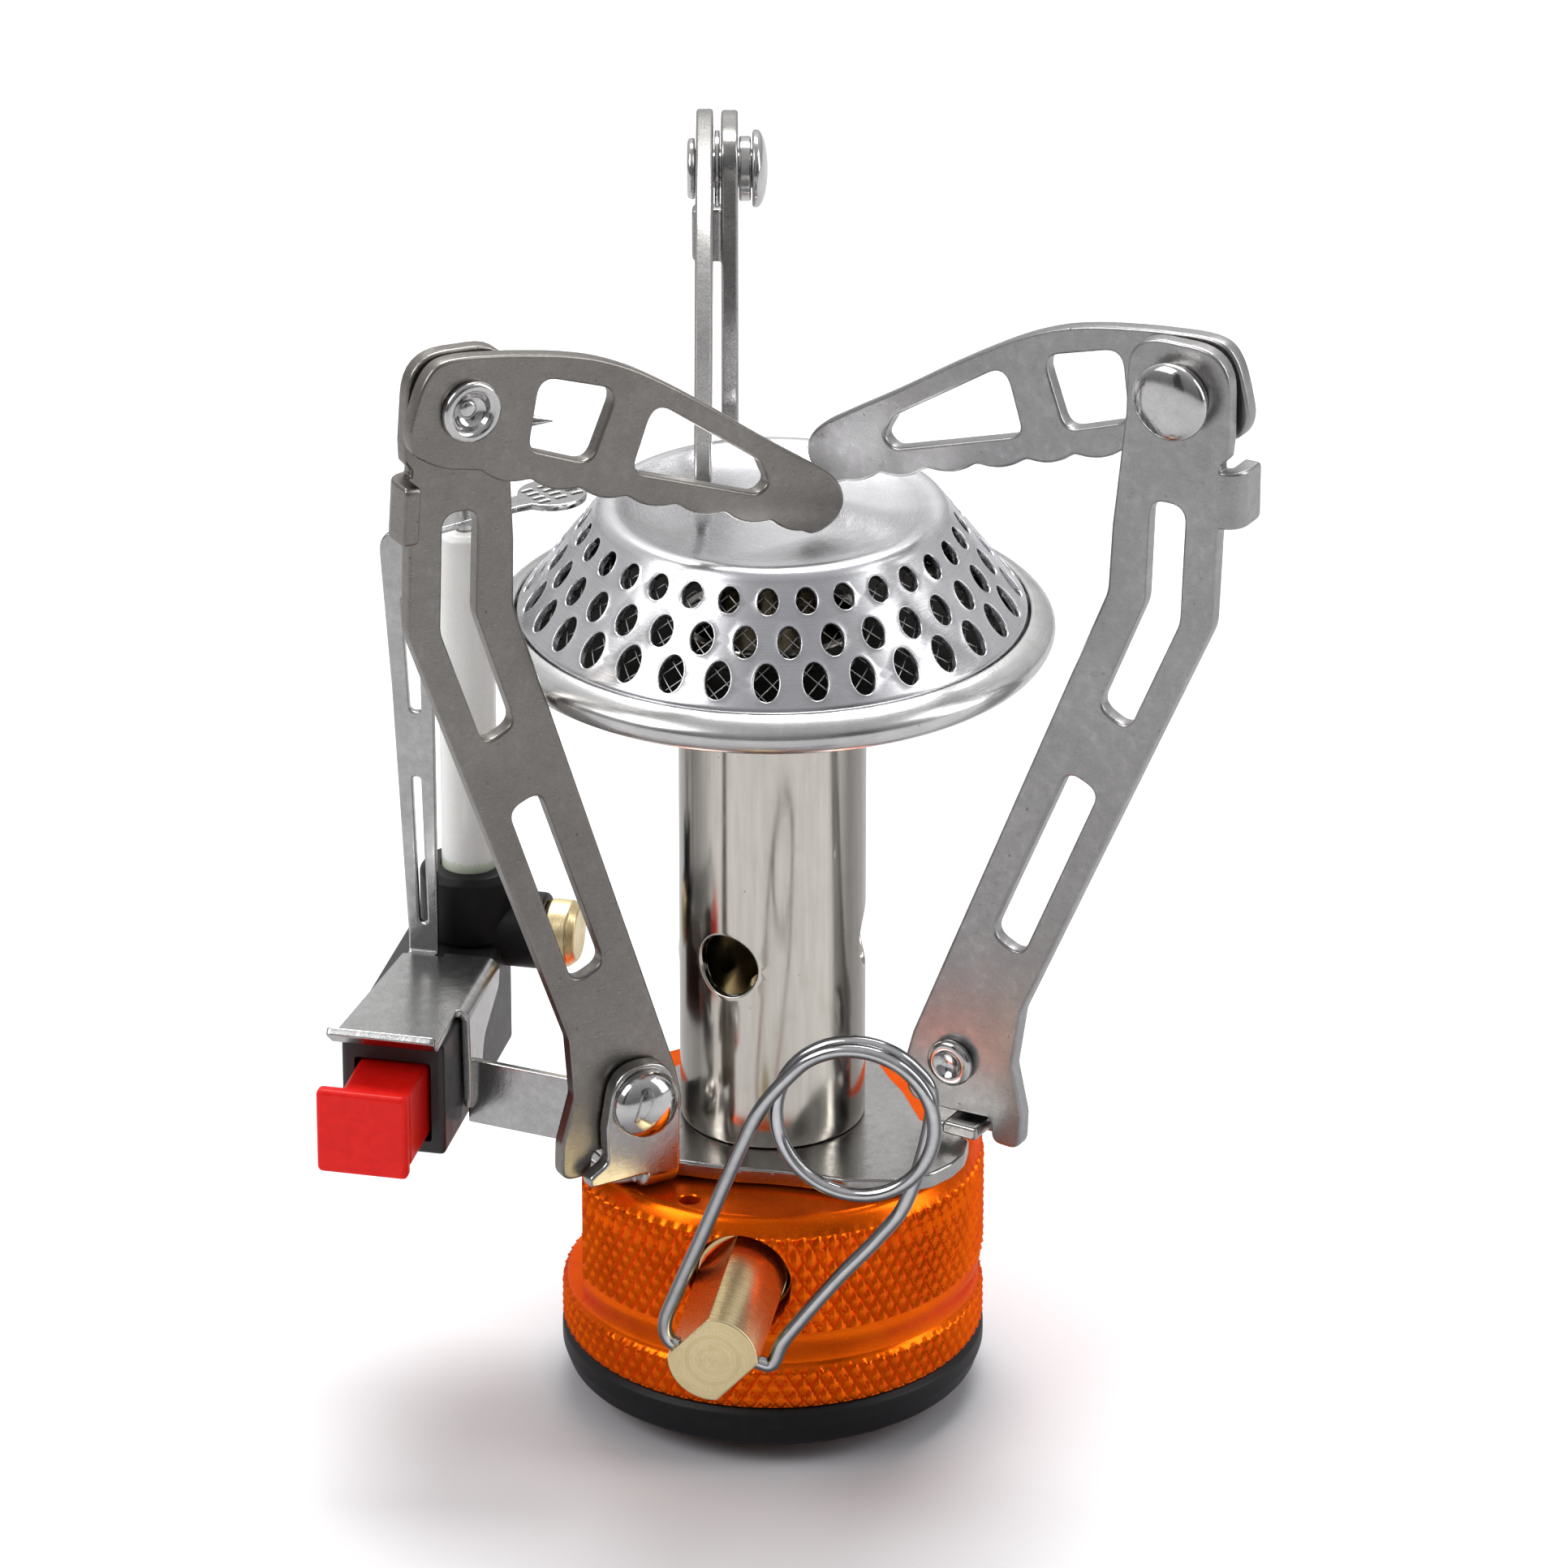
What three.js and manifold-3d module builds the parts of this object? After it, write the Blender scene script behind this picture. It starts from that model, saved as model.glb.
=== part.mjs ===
// Folding canister-top stove: valve block with threaded nose, mixing tube and
// burner head, three folding legs with swing-out serrated arms, wire-handled
// needle valve and side-mounted piezo igniter. Millimetres and degrees, +Z up.
// Origin: on the stove axis, at the flat tip of the depressor pin in the nose.
// Heights in the code are counted from a datum 6 mm under the knurled block.
import * as THREE from 'three';
import { mergeVertices } from 'three/addons/utils/BufferGeometryUtils.js';
import Module from 'manifold-3d';

const manifold = await Module();
manifold.setup();

// ---------------------------------------------------------- shared dimensions
const PIN_TIP = 4.2;               // height of the depressor pin tip

const PLATE_Z0 = 20.95;            // underside and top of the leg bracket sheet
const PLATE_Z1 = 22.15;

// Leg planes. "Out" is the distance from the stove axis; "offset" is the
// sideways distance from the plane through the axis.
const LEGS = [                     // direction, and how far the leg is folded inward
  { azimuth: 330, fold: 0 },
  { azimuth: 210, fold: 3.9 },
  { azimuth: 90, fold: 3.9 },
];
const LOW_PIVOT = { out: 13.2, z: 28.2 };
const TOP_PIVOT = { out: 29.9, z: 82.0 };
const LOW_RIVET_R = 1.2;           // rivet shanks
const TOP_RIVET_R = 1.35;
const EAR = { inner: 3.9, outer: 5.0 };     // sheet faces, as offsets
const LEG = { inner: 2.4, outer: 3.6 };
const ARM = { inner: 4.15, outer: 5.35 };

const PAN_Z0 = 58.1;               // underside of the burner pan
const TUBE_R = 6.53;

const SPINDLE_AZIMUTH = 260.8;
const SPINDLE_Z = 15.8;

// ------------------------------------------------------------ vector helpers
const rad = degrees => degrees * Math.PI / 180;
const vec2 = (x, y) => new THREE.Vector2(x, y);
const vec3 = (x, y, z) => new THREE.Vector3(x, y, z);
const polar = (radius, degrees) => [
  radius * Math.cos(rad(degrees)), radius * Math.sin(rad(degrees))];
const X = vec3(1, 0, 0);
const Y = vec3(0, 1, 0);
const Z = vec3(0, 0, 1);

// Matrix that carries the local axes onto the three directions given.
const frame = (xDir, yDir, zDir, origin = vec3(0, 0, 0)) =>
  new THREE.Matrix4().makeBasis(xDir, yDir, zDir).setPosition(origin);

// -------------------------------------------------------------- mesh helpers
// Indexed copy with shared vertices, no collapsed triangles and faces outward.
function clean(source) {
  const copy = source.clone();
  for (const name of Object.keys(copy.attributes)) {
    if (name !== 'position') copy.deleteAttribute(name);
  }
  copy.clearGroups();
  const merged = mergeVertices(copy, 1e-4);
  const index = merged.index.array;
  const positions = merged.attributes.position.array;
  const vertex = i => vec3().fromArray(positions, i * 3);
  const kept = [];
  let volume = 0;
  for (let i = 0; i < index.length; i += 3) {
    const [a, b, c] = [index[i], index[i + 1], index[i + 2]];
    if (a === b || b === c || a === c) continue;
    kept.push(a, b, c);
    volume += vertex(a).dot(vertex(b).cross(vertex(c)));
  }
  if (volume < 0) {
    for (let i = 0; i < kept.length; i += 3) {
      [kept[i + 1], kept[i + 2]] = [kept[i + 2], kept[i + 1]];
    }
  }
  merged.setIndex(kept);
  return merged;
}

function solid(geometry) {
  const cleaned = clean(geometry);
  return new manifold.Manifold(new manifold.Mesh({
    numProp: 3,
    vertProperties: new Float32Array(cleaned.attributes.position.array),
    triVerts: new Uint32Array(cleaned.index.array),
  }));
}

const cut = (body, ...tools) => tools.reduce((rest, tool) => rest.subtract(solid(tool)), body);
const join = (body, ...parts) => parts.reduce((sum, part) => sum.add(solid(part)), body);

function toGeometry(body) {
  const mesh = body.simplify(0.01).getMesh();   // drops slivers left by the cuts
  const geometry = new THREE.BufferGeometry();
  const positions = new Float32Array(mesh.vertProperties);
  geometry.setAttribute('position', new THREE.BufferAttribute(positions, 3));
  geometry.setIndex(Array.from(mesh.triVerts));
  return geometry;
}

// ------------------------------------------------------------- shape helpers
// Solid revolved about Z; the profile is a list of [radius, z].
function revolve(profile, segments, closed = false) {
  const points = profile.map(([radius, z]) => vec2(radius, z));
  if (closed) points.push(points[0].clone());
  return new THREE.LatheGeometry(points, segments).rotateX(Math.PI / 2);
}

const lift = (profile, height) => profile.map(([radius, z]) => [radius, z + height]);

// Straight round bar, or a cone if the end radius differs.
function bar(start, end, radius, segments, endRadius = radius) {
  const along = end.clone().sub(start);
  const length = along.length();
  const geometry = new THREE.CylinderGeometry(endRadius, radius, length, segments);
  geometry.translate(0, length / 2, 0);
  const turn = new THREE.Quaternion().setFromUnitVectors(Y, along.normalize());
  geometry.applyQuaternion(turn);
  return geometry.translate(start.x, start.y, start.z);
}

const post = (x, y, z0, z1, radius, segments) =>
  bar(vec3(x, y, z0), vec3(x, y, z1), radius, segments);

function box(x0, x1, y0, y1, z0, z1) {
  const geometry = new THREE.BoxGeometry(x1 - x0, y1 - y0, z1 - z0);
  return geometry.translate((x0 + x1) / 2, (y0 + y1) / 2, (z0 + z1) / 2);
}

// Closed outline with sharp corners through [x, y] points.
function polygon(points, Kind = THREE.Shape) {
  const outline = new Kind(points.map(([x, y]) => vec2(x, y)));
  outline.closePath();
  return outline;
}

// Closed outline with every corner rounded; corners are [x, y, radius].
function rounded(corners, steps = 3, Kind = THREE.Shape) {
  const longestShare = 0.48;       // of a side that one corner may use up
  const points = [];
  corners.forEach(([x, y, radius], i) => {
    if (radius <= 0) {
      points.push([x, y]);
      return;
    }
    const corner = vec2(x, y);
    const [lastX, lastY] = corners.at(i - 1);
    const [nextX, nextY] = corners[(i + 1) % corners.length];
    const back = vec2(lastX, lastY).sub(corner);
    const ahead = vec2(nextX, nextY).sub(corner);
    const shorter = Math.min(back.length(), ahead.length());
    back.normalize();
    ahead.normalize();
    const angle = Math.acos(THREE.MathUtils.clamp(back.dot(ahead), -1, 1));
    const setback = Math.min(radius / Math.tan(angle / 2), shorter * longestShare);
    const curve = new THREE.QuadraticBezierCurve(
      corner.clone().addScaledVector(back, setback), corner,
      corner.clone().addScaledVector(ahead, setback));
    points.push(...curve.getPoints(steps).map(point => point.toArray()));
  });
  return polygon(points, Kind);
}

const roundedHole = (corners, steps) => rounded(corners, steps, THREE.Path);
const roundHole = (x, y, radius) =>
  new THREE.Path().absarc(x, y, radius, 0, 2 * Math.PI, true);

// Flat sheet of the given outline; the outline may run either way round.
function plate(outline, depth) {
  const { shape: edge, holes } = outline.extractPoints(9);
  const clockwise = THREE.ShapeUtils.isClockWise;
  const shape = new THREE.Shape(clockwise(edge) ? edge.reverse() : edge);
  for (const hole of holes) {
    shape.holes.push(new THREE.Path(clockwise(hole) ? hole : hole.reverse()));
  }
  return new THREE.ExtrudeGeometry(shape, { depth, bevelEnabled: false });
}

// Sheet with its outline in (y, z), extruded toward +X from x0.
const plateAlongX = (outline, depth, x0) =>
  plate(outline, depth).applyMatrix4(frame(Y, Z, X, vec3(x0, 0, 0)));

// Wire swept along a smooth curve through the points.
function wire(points, radius, steps, sides, curveType = 'catmullrom') {
  const extrudePath = new THREE.CatmullRomCurve3(points, false, curveType);
  const section = Array.from({ length: sides }, (_, i) => polar(radius, 360 * i / sides));
  return new THREE.ExtrudeGeometry(polygon(section), { extrudePath, steps, bevelEnabled: false });
}

// ------------------------------------------------------- materials and groups
const finish = (color, roughness, metalness) => ({ color, roughness, metalness });
const FINISHES = {
  orange: finish(0xe06a12, 0.35, 0.7),
  rubber: finish(0x121212, 0.75, 0.0),
  steel: finish(0x9a958f, 0.38, 1.0),
  bright: finish(0xd0d0d0, 0.16, 1.0),
  nickel: finish(0xb9b3a2, 0.28, 1.0),
  brass: finish(0xcfa95a, 0.3, 1.0),
  ceramic: finish(0xf1efe8, 0.35, 0.0),
  black: finish(0x17191b, 0.45, 0.0),
  red: finish(0xd82318, 0.35, 0.0),
  wire: finish(0xc9c9c9, 0.2, 1.0),
};

const whole = new THREE.Group();
whole.name = 'canister_stove';
const stove = new THREE.Group();
stove.position.z = -PIN_TIP;
whole.add(stove);

// Adds a named mesh made from a geometry or from a manifold solid.
function put(parent, name, shape, finishName) {
  const geometry = shape.isBufferGeometry ? clean(shape) : toGeometry(shape);
  geometry.computeVertexNormals();
  const mesh = new THREE.Mesh(geometry, new THREE.MeshStandardMaterial(FINISHES[finishName]));
  mesh.name = name;
  parent.add(mesh);
}

// --------------------------------------------------------------- valve block
const NOSE_Z = 1.2;                // underside of the threaded nose
const NOSE_R = 10.9;
const NOSE_BORE_R = 5.7;
const NOSE_BORE_TOP = 8.4;
const FLANGE_Z = 6.0;              // underside of the knurled block
const BODY_R = 15.0;
const BODY_TOP = 20.7;
const BOSS_TOP = 20.9;
const FLAT_X = -13.4;              // flat on the -X side of the upper band
const FLAT_Z0 = 9.45;

const spindleOut = vec3(...polar(1, SPINDLE_AZIMUTH), 0);
const spindleSide = vec3(-spindleOut.y, spindleOut.x, 0);
const spindlePoint = out => vec3(spindleOut.x * out, spindleOut.y * out, SPINDLE_Z);

function addValveBody() {
  const outside = revolve([
    [0, NOSE_Z], [NOSE_R - 0.4, NOSE_Z], [NOSE_R, NOSE_Z + 0.4], [NOSE_R, FLANGE_Z],
    [BODY_R - 0.25, FLANGE_Z], [BODY_R, FLANGE_Z + 0.25], [BODY_R, 9.1], [14.5, 9.5],
    [14.5, 9.9], [14.75, 10.9], [BODY_R, 11.9], [BODY_R, 19.4], [14.3, 20.6],
    [13.9, BODY_TOP], [7.5, BODY_TOP], [7.4, BOSS_TOP], [0, BOSS_TOP]], 48);
  const noseBore = revolve([
    [0, -0.5], [NOSE_BORE_R, -0.5], [NOSE_BORE_R, NOSE_BORE_TOP], [0, NOSE_BORE_TOP]], 32);
  const body = cut(solid(outside),
    noseBore,
    post(0, 0, 8, 22, 1.2, 16),                             // gas passage
    post(0, 0, 17, 22, 3.1, 24),                            // jet seat
    bar(spindlePoint(0), spindlePoint(6.3), 1.0, 16),       // stepped spindle bore
    bar(spindlePoint(6), spindlePoint(10), 2.6, 20),
    bar(spindlePoint(9.5), spindlePoint(17), 3.6, 32),
    box(-20, FLAT_X, -20, 20, FLAT_Z0, 22),
    post(-5.8, -11.2, 16.5, 22, 0.75, 12));                 // blind hole in the top
  put(stove, 'valve_body', body, 'orange');
}

function addSeals() {
  put(stove, 'canister_seal', revolve([
    [11.0, 2.9], [11.0, 5.95], [14.6, 5.95], [15.0, 5.6], [15.0, 4.4], [14.6, 3.2],
    [13.6, 2.5], [12.2, 2.5]], 40, true), 'rubber');
  put(stove, 'inlet_o_ring', revolve([
    [3.1, 7.5], [3.6, 8.3], [4.6, 8.3], [5.1, 7.5], [4.6, 6.7], [3.6, 6.7]], 24, true), 'rubber');
}

// Pin with a cross vent so that gas can pass round it.
function addDepressorPin() {
  const pin = revolve([
    [0, PIN_TIP], [0.8, PIN_TIP], [1.0, PIN_TIP + 0.2], [1.0, 7.6], [2.4, 7.6],
    [2.4, 8.35], [1.15, 8.35], [1.15, 10.6], [0, 10.6]], 20);
  const vent = box(-3, 3, -0.35, 0.35, 7.9, 11);
  put(stove, 'depressor_pin', cut(solid(pin), vent), 'brass');
}

// Thin sleeve in the mouth of the spindle bore.
function addSpindleGland() {
  const sleeve = revolve([
    [3.35, 10.6], [3.35, 12.4], [3.5, 12.6], [3.55, 12.4], [3.55, 10.6]], 32, true);
  sleeve.applyMatrix4(frame(Z, spindleSide, spindleOut, spindlePoint(0)));
  put(stove, 'spindle_gland', sleeve, 'brass');
}

// ------------------------------------------------------------- tube and jet
const TUBE_R_IN = 5.9;
const TUBE_TOP = 60.2;
const COLLAR_R = TUBE_R + 0.6;     // collar just under the pan
const AIR_HOLE = { z: 36.0, radius: 2.3, azimuths: [240, 0, 120] };
const JET_HEX_R = 4.1;             // across corners, halved

function addMixingTube() {
  const tube = revolve([
    [3.5, PLATE_Z1 + 0.05], [TUBE_R, PLATE_Z1 + 0.05], [TUBE_R, PAN_Z0 - 1.4],
    [COLLAR_R, PAN_Z0 - 0.7], [COLLAR_R, PAN_Z0 - 0.06], [TUBE_R, PAN_Z0 - 0.06],
    [TUBE_R, TUBE_TOP], [TUBE_R_IN, TUBE_TOP], [TUBE_R_IN, PLATE_Z1 + 1.1],
    [3.5, PLATE_Z1 + 1.1]], 32, true);
  const airHoles = AIR_HOLE.azimuths.map(azimuth => bar(
    vec3(...polar(3, azimuth), AIR_HOLE.z), vec3(...polar(9, azimuth), AIR_HOLE.z),
    AIR_HOLE.radius, 20));
  put(stove, 'mixing_tube', cut(solid(tube), ...airHoles), 'nickel');
}

// Jet: spigot through the plate, hexagon, nozzle with a fine hole.
function addJet() {
  const turned = revolve([
    [0, 17.4], [2.95, 17.4], [2.95, 23.3], [3.4, 23.35], [4.6, 23.35], [4.6, 26.0],
    [2.6, 26.6], [2.2, 30.5], [1.5, 32.2], [0, 32.2]], 24);
  const bored = cut(solid(turned), post(0, 0, 17, 30.5, 1.0, 12), post(0, 0, 30, 33, 0.3, 8));
  const corners = [0, 60, 120, 180, 240, 300].map(degrees => polar(JET_HEX_R, degrees));
  const aroundHex = cut(
    solid(box(-9, 9, -9, 9, 23.32, 26.22)),
    plate(polygon(corners), 4).translate(0, 0, 23));
  put(stove, 'jet_nozzle', bored.subtract(aroundHex), 'brass');
}

// --------------------------------------------------------------- burner head
const PAN_PROFILE = [              // radius, height above PAN_Z0
  [TUBE_R + 0.07, 0], [17.7, 0], [18.8, 0.2], [19.35, 0.8], [19.53, 1.5], [19.2, 2.1],
  [18.8, 2.48], [18.4, 2.72], [18.05, 2.85], [17.8, 2.65], [18.25, 2.2], [18.85, 1.65],
  [18.98, 1.25], [18.7, 0.8], [18.1, 0.6], [TUBE_R + 0.07, 0.6]];
const CONE_FOOT = [17.6, 61.04];   // perforated cone: radius, height
const CONE_TOP = [12.3, 68.03];
const CAP_WALL = 0.5;
const DISH_Z = 67.7;               // centre of the dished crown
const HOLES_PER_ROW = 31;          // also the facet count of the cap
const HOLE_PHASE = -1.4;           // degrees from -Y
const HOLE_ROWS = [                // radius, height, half width, half height, stagger
  [13.04, 67.05, 0.72, 0.92, 0],
  [14.75, 64.8, 0.80, 1.13, 0.5],
  [16.42, 62.6, 0.86, 1.34, 0]];

const coneSlope = vec2(...CONE_TOP).sub(vec2(...CONE_FOOT)).normalize();
// Moves a profile point square to the cone, inward and down.
const insideCone = ([radius, z], depth) => [
  radius - coneSlope.y * depth, z + coneSlope.x * depth];

function addBurnerPan() {
  put(stove, 'burner_pan', revolve(lift(PAN_PROFILE, PAN_Z0), 40, true), 'steel');
}

// Six-sided cutter set square to the cone.
function capHole([radius, z, halfWidth, halfHeight, stagger], i) {
  const azimuth = 270 + HOLE_PHASE + (i + stagger) * 360 / HOLES_PER_ROW;
  const outline = [30, 90, 150, 210, 270, 330].map(degrees => {
    const [x, y] = polar(1, degrees);
    return [halfWidth * x, halfHeight * y];
  });
  const outward = vec3(...polar(1, azimuth), 0);
  const upSlope = outward.clone().multiplyScalar(coneSlope.x).addScaledVector(Z, coneSlope.y);
  const normal = outward.clone().multiplyScalar(coneSlope.y).addScaledVector(Z, -coneSlope.x);
  const across = upSlope.clone().cross(normal);
  return plate(polygon(outline), 2.0).translate(0, 0, -1.0)
    .applyMatrix4(frame(across, upSlope, normal, vec3(...polar(radius, azimuth), z)));
}

function addBurnerCap() {
  const [footR] = CONE_FOOT;
  const capZ0 = PAN_Z0 + 0.68;
  const shell = revolve([
    [0, DISH_Z], [5.0, DISH_Z + 0.06], [8.0, DISH_Z + 0.3], [9.8, DISH_Z + 0.72],
    [10.8, 68.72], [11.4, 68.74], [11.9, 68.5], CONE_TOP, CONE_FOOT,
    [footR, capZ0], [footR - CAP_WALL, capZ0], [footR - CAP_WALL, 60.8],
    insideCone(CONE_FOOT, CAP_WALL), insideCone(CONE_TOP, CAP_WALL),
    [11.55, 68.15], [11.1, 68.22], [9.9, 67.95], [8.1, DISH_Z - 0.2],
    [5.0, DISH_Z - CAP_WALL + 0.06], [0, DISH_Z - CAP_WALL]], HOLES_PER_ROW);
  const holes = HOLE_ROWS.flatMap(row =>
    Array.from({ length: HOLES_PER_ROW }, (_, i) => capHole(row, i)));
  put(stove, 'burner_cap', cut(solid(shell), ...holes), 'bright');
}

// Thin lining inside the cone and the skirt.
function addBurnerMesh() {
  const outer = 0.85;              // depths below the outside of the cone
  const inner = 1.1;
  put(stove, 'burner_mesh', revolve([
    insideCone(CONE_FOOT, outer), insideCone(CONE_TOP, outer),
    insideCone(CONE_TOP, inner), insideCone(CONE_FOOT, inner),
    [16.65, PAN_Z0 + 0.8], [16.9, PAN_Z0 + 0.8]], 31, true), 'steel');
}

// ---------------------------------------------------------------- leg bracket
const PLATE_RIM = [                // degrees from the leg, radius
  [-60, 9.6], [-48, 10.3], [-35, 12.2], [-22, 14.1], [-12, 15.0], [-4, 15.2], [3, 15.1],
  [46, 9.6]];
const PLATE_NOTCH = [[14.4, 2.6], [12.95, 3.4], [10.3, 3.4]];     // out, sideways
const EAR_OUTLINE = [              // out, height, corner radius
  [10.3, 20.0, 0], [10.3, 26.6, 2.6], [11.0, 31.05, 2.8], [15.3, 31.05, 2.8],
  [16.1, 26.6, 2.6], [16.0, 24.1, 0.8], [17.5, 23.2, 0.5], [17.4, 22.4, 0.3],
  [12.95, 22.4, 0.3], [12.95, 20.0, 0]];
const STOP_TONGUE = [              // out, height, corner radius
  [12.9, 22.9, 0.2], [15.75, 22.9, 0.45], [15.75, 23.9, 0.2], [12.9, 23.9, 0.45]];
const BEND = { offset: 3.5, outerR: 1.5, innerR: 0.4 };   // fold from plate to ear

// Leg frame: local X is outward, local Y is up, local Z is minus the tangent.
function legFrame(azimuth) {
  const [x, y] = polar(1, azimuth);
  return frame(vec3(x, y, 0), Z, vec3(y, -x, 0));
}

function plateOutline() {
  const points = LEGS.flatMap(({ azimuth }) => {
    const [x, y] = polar(1, azimuth);
    return [
      ...PLATE_RIM.map(([degrees, radius]) => polar(radius, azimuth + degrees)),
      ...PLATE_NOTCH.map(([out, side]) => [out * x - side * y, out * y + side * x]),
    ];
  });
  const angle = ([x, y]) => Math.atan2(y, x);
  points.sort((a, b) => angle(a) - angle(b));
  return rounded(points.map(([x, y]) => [x, y, 0.4]), 2);
}

// Section of the sheet bent up from the plate, as [offset, height].
function bendSection() {
  const section = [[3.2, PLATE_Z0]];
  for (let k = 0; k <= 5; k++) {
    const [x, y] = polar(BEND.outerR, 18 * k);
    section.push([BEND.offset + y, PLATE_Z0 + BEND.outerR - x]);
  }
  section.push([EAR.outer, 31.2], [EAR.inner, 31.2]);
  for (let k = 0; k <= 2; k++) {
    const [x, y] = polar(BEND.innerR, 45 * k);
    section.push([BEND.offset + x, PLATE_Z1 + BEND.innerR - y]);
  }
  section.push([3.2, PLATE_Z1]);
  return polygon(section);
}

function addLegBracket() {
  const earOutline = rounded(EAR_OUTLINE, 4);
  earOutline.holes.push(roundHole(LOW_PIVOT.out, LOW_PIVOT.z, LOW_RIVET_R + 0.06));
  const sheet = plate(bendSection(), 7.0)
    .applyMatrix4(frame(vec3(0, 0, -1), Y, X, vec3(10.3, 0, 0)));
  const ear = solid(sheet).intersect(solid(plate(earOutline, 3).translate(0, 0, -5.5)));

  let bracket = cut(
    solid(plate(plateOutline(), PLATE_Z1 - PLATE_Z0).translate(0, 0, PLATE_Z0)),
    post(0, 0, 20, 23, 3.2, 24));
  const tongueOuter = EAR.inner + 0.3;
  for (const { azimuth } of LEGS) {
    const toStove = legFrame(azimuth);
    // The stop tongue passes under the leg.
    const tongue = plate(rounded(STOP_TONGUE), tongueOuter - 1.2)
      .translate(0, 0, -tongueOuter).applyMatrix4(toStove);
    bracket = join(bracket.add(ear.transform(toStove.elements)), tongue);
  }
  put(stove, 'leg_bracket', bracket, 'steel');
}

// --------------------------------------------------------------- legs and arms
// Out, height, corner radius, for a leg standing against its stop.
const LEG_OUTLINE = [
  [13.2, 24.2, 2.6], [15.95, 24.3, 0.25], [16.2, 23.9, 0.3], [16.3, 22.5, 0.9],
  [18.6, 22.35, 1.1], [18.7, 25.2, 1.5], [17.9, 28.8, 1.6], [18.55, 33.2, 2.0],
  [32.75, 65.6, 3.5], [33.1, 72.9, 0.3], [33.5, 73.2, 0.3], [33.5, 77.1, 0.3],
  [33.75, 79.5, 2.5], [33.7, 85.75, 3.9], [26.0, 85.75, 3.9], [25.9, 79.9, 2.5],
  [25.0, 71.5, 2.0], [24.75, 66.6, 3.5], [9.9, 29.6, 2.0], [9.2, 27.0, 2.4],
  [9.6, 24.2, 2.8]];
const LEG_SLOTS = [
  [[27.85, 74.0, 1.2], [27.6, 66.4, 3.0], [24.15, 57.9, 1.1], [26.5, 56.6, 1.1],
    [30.25, 65.4, 3.0], [30.55, 74.0, 1.2]],
  [[21.9, 52.5, 1.1], [16.1, 38.7, 1.1], [18.5, 37.5, 1.1], [24.3, 51.4, 1.1]]];
const FLAP_Z0 = 72.95;             // arm stop on the outer edge of the leg
const FLAP_Z1 = 77.1;
const FLAP_SECTION = [             // out, minus the offset, corner radius
  [33.0, -LEG.inner, 0], [34.6, -LEG.inner, 1.3], [34.6, -5.7, 0], [33.45, -5.7, 0],
  [33.45, -LEG.outer, 0.3], [33.0, -LEG.outer, 0]];

// Arm [x, y] about its pivot; -X is toward the burner.
const ARM_CUSPS = [                // roots between the lobes of the lower edge
  [-1.2, -4.5], [-5.0, -5.6], [-8.8, -6.75], [-12.5, -7.9], [-16.35, -9.05],
  [-20.2, -10.2], [-23.85, -11.35], [-26.4, -12.55]];
const ARM_EDGE = [                 // onward round the tip, the upper edge and the pivot end
  [-27.3, -12.85], [-28.4, -12.55], [-29.25, -11.8], [-29.6, -10.8], [-29.35, -9.8],
  [-28.5, -8.75], [-26.8, -7.6], [-22.6, -5.0], [-18.4, -2.25], [-14.6, 0.05],
  [-12.1, 1.35], [-9.6, 2.3], [-7.1, 2.9], [-4.9, 3.25], [-2.0, 3.6], [1.5, 3.75],
  [2.7, 3.35], [3.5, 2.3], [4.15, 0.2], [4.4, -1.4], [4.0, -2.6], [3.0, -3.35],
  [1.3, -4.05], [0.1, -4.25]];
const ARM_WINDOWS = [              // x, y, corner radius
  [[-23.6, -8.6, 0.9], [-22.7, -6.9, 1.0], [-14.2, -1.4, 1.2], [-12.75, -6.25, 1.0],
    [-22.7, -9.3, 0.9]],
  [[-11.3, -0.1, 1.2], [-5.3, 1.6, 1.2], [-4.7, -3.5, 1.1], [-9.5, -5.15, 1.1]]];
const LOBE = { depth: 0.48, lastDepth: 0.25, x: 0.29, y: -0.957 };   // x, y: bulge direction

// Rivet and washer profiles: radius, offset.
const LOW_RIVET = [
  [0, 1.5], [1.1, 1.5], [1.75, 1.7], [1.75, 2.05], [LOW_RIVET_R, 2.3],
  [LOW_RIVET_R, EAR.outer + 0.05], [2.5, EAR.outer + 0.05], [2.5, 5.5], [2.15, 6.1],
  [1.4, 6.55], [0, 6.75]];
const TOP_RIVET = [
  [0, 0.3], [1.4, 0.45], [2.3, 0.85], [2.75, 1.4], [TOP_RIVET_R, 1.4], [TOP_RIVET_R, 5.42],
  [2.15, 5.45], [2.15, 5.8], [1.85, 5.98], [1.35, 5.9], [0.95, 5.0], [0, 4.8]];
const COLLAR = [
  [TOP_RIVET_R + 0.05, 1.48], [2.3, 1.48], [2.3, 2.34], [TOP_RIVET_R + 0.05, 2.34]];
const WASHER = [
  [TOP_RIVET_R + 0.1, 3.67], [2.7, 3.67], [2.7, 4.07], [TOP_RIVET_R + 0.1, 4.07]];

const pivotRise = {
  out: TOP_PIVOT.out - LOW_PIVOT.out,
  z: TOP_PIVOT.z - LOW_PIVOT.z,
};

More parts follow.
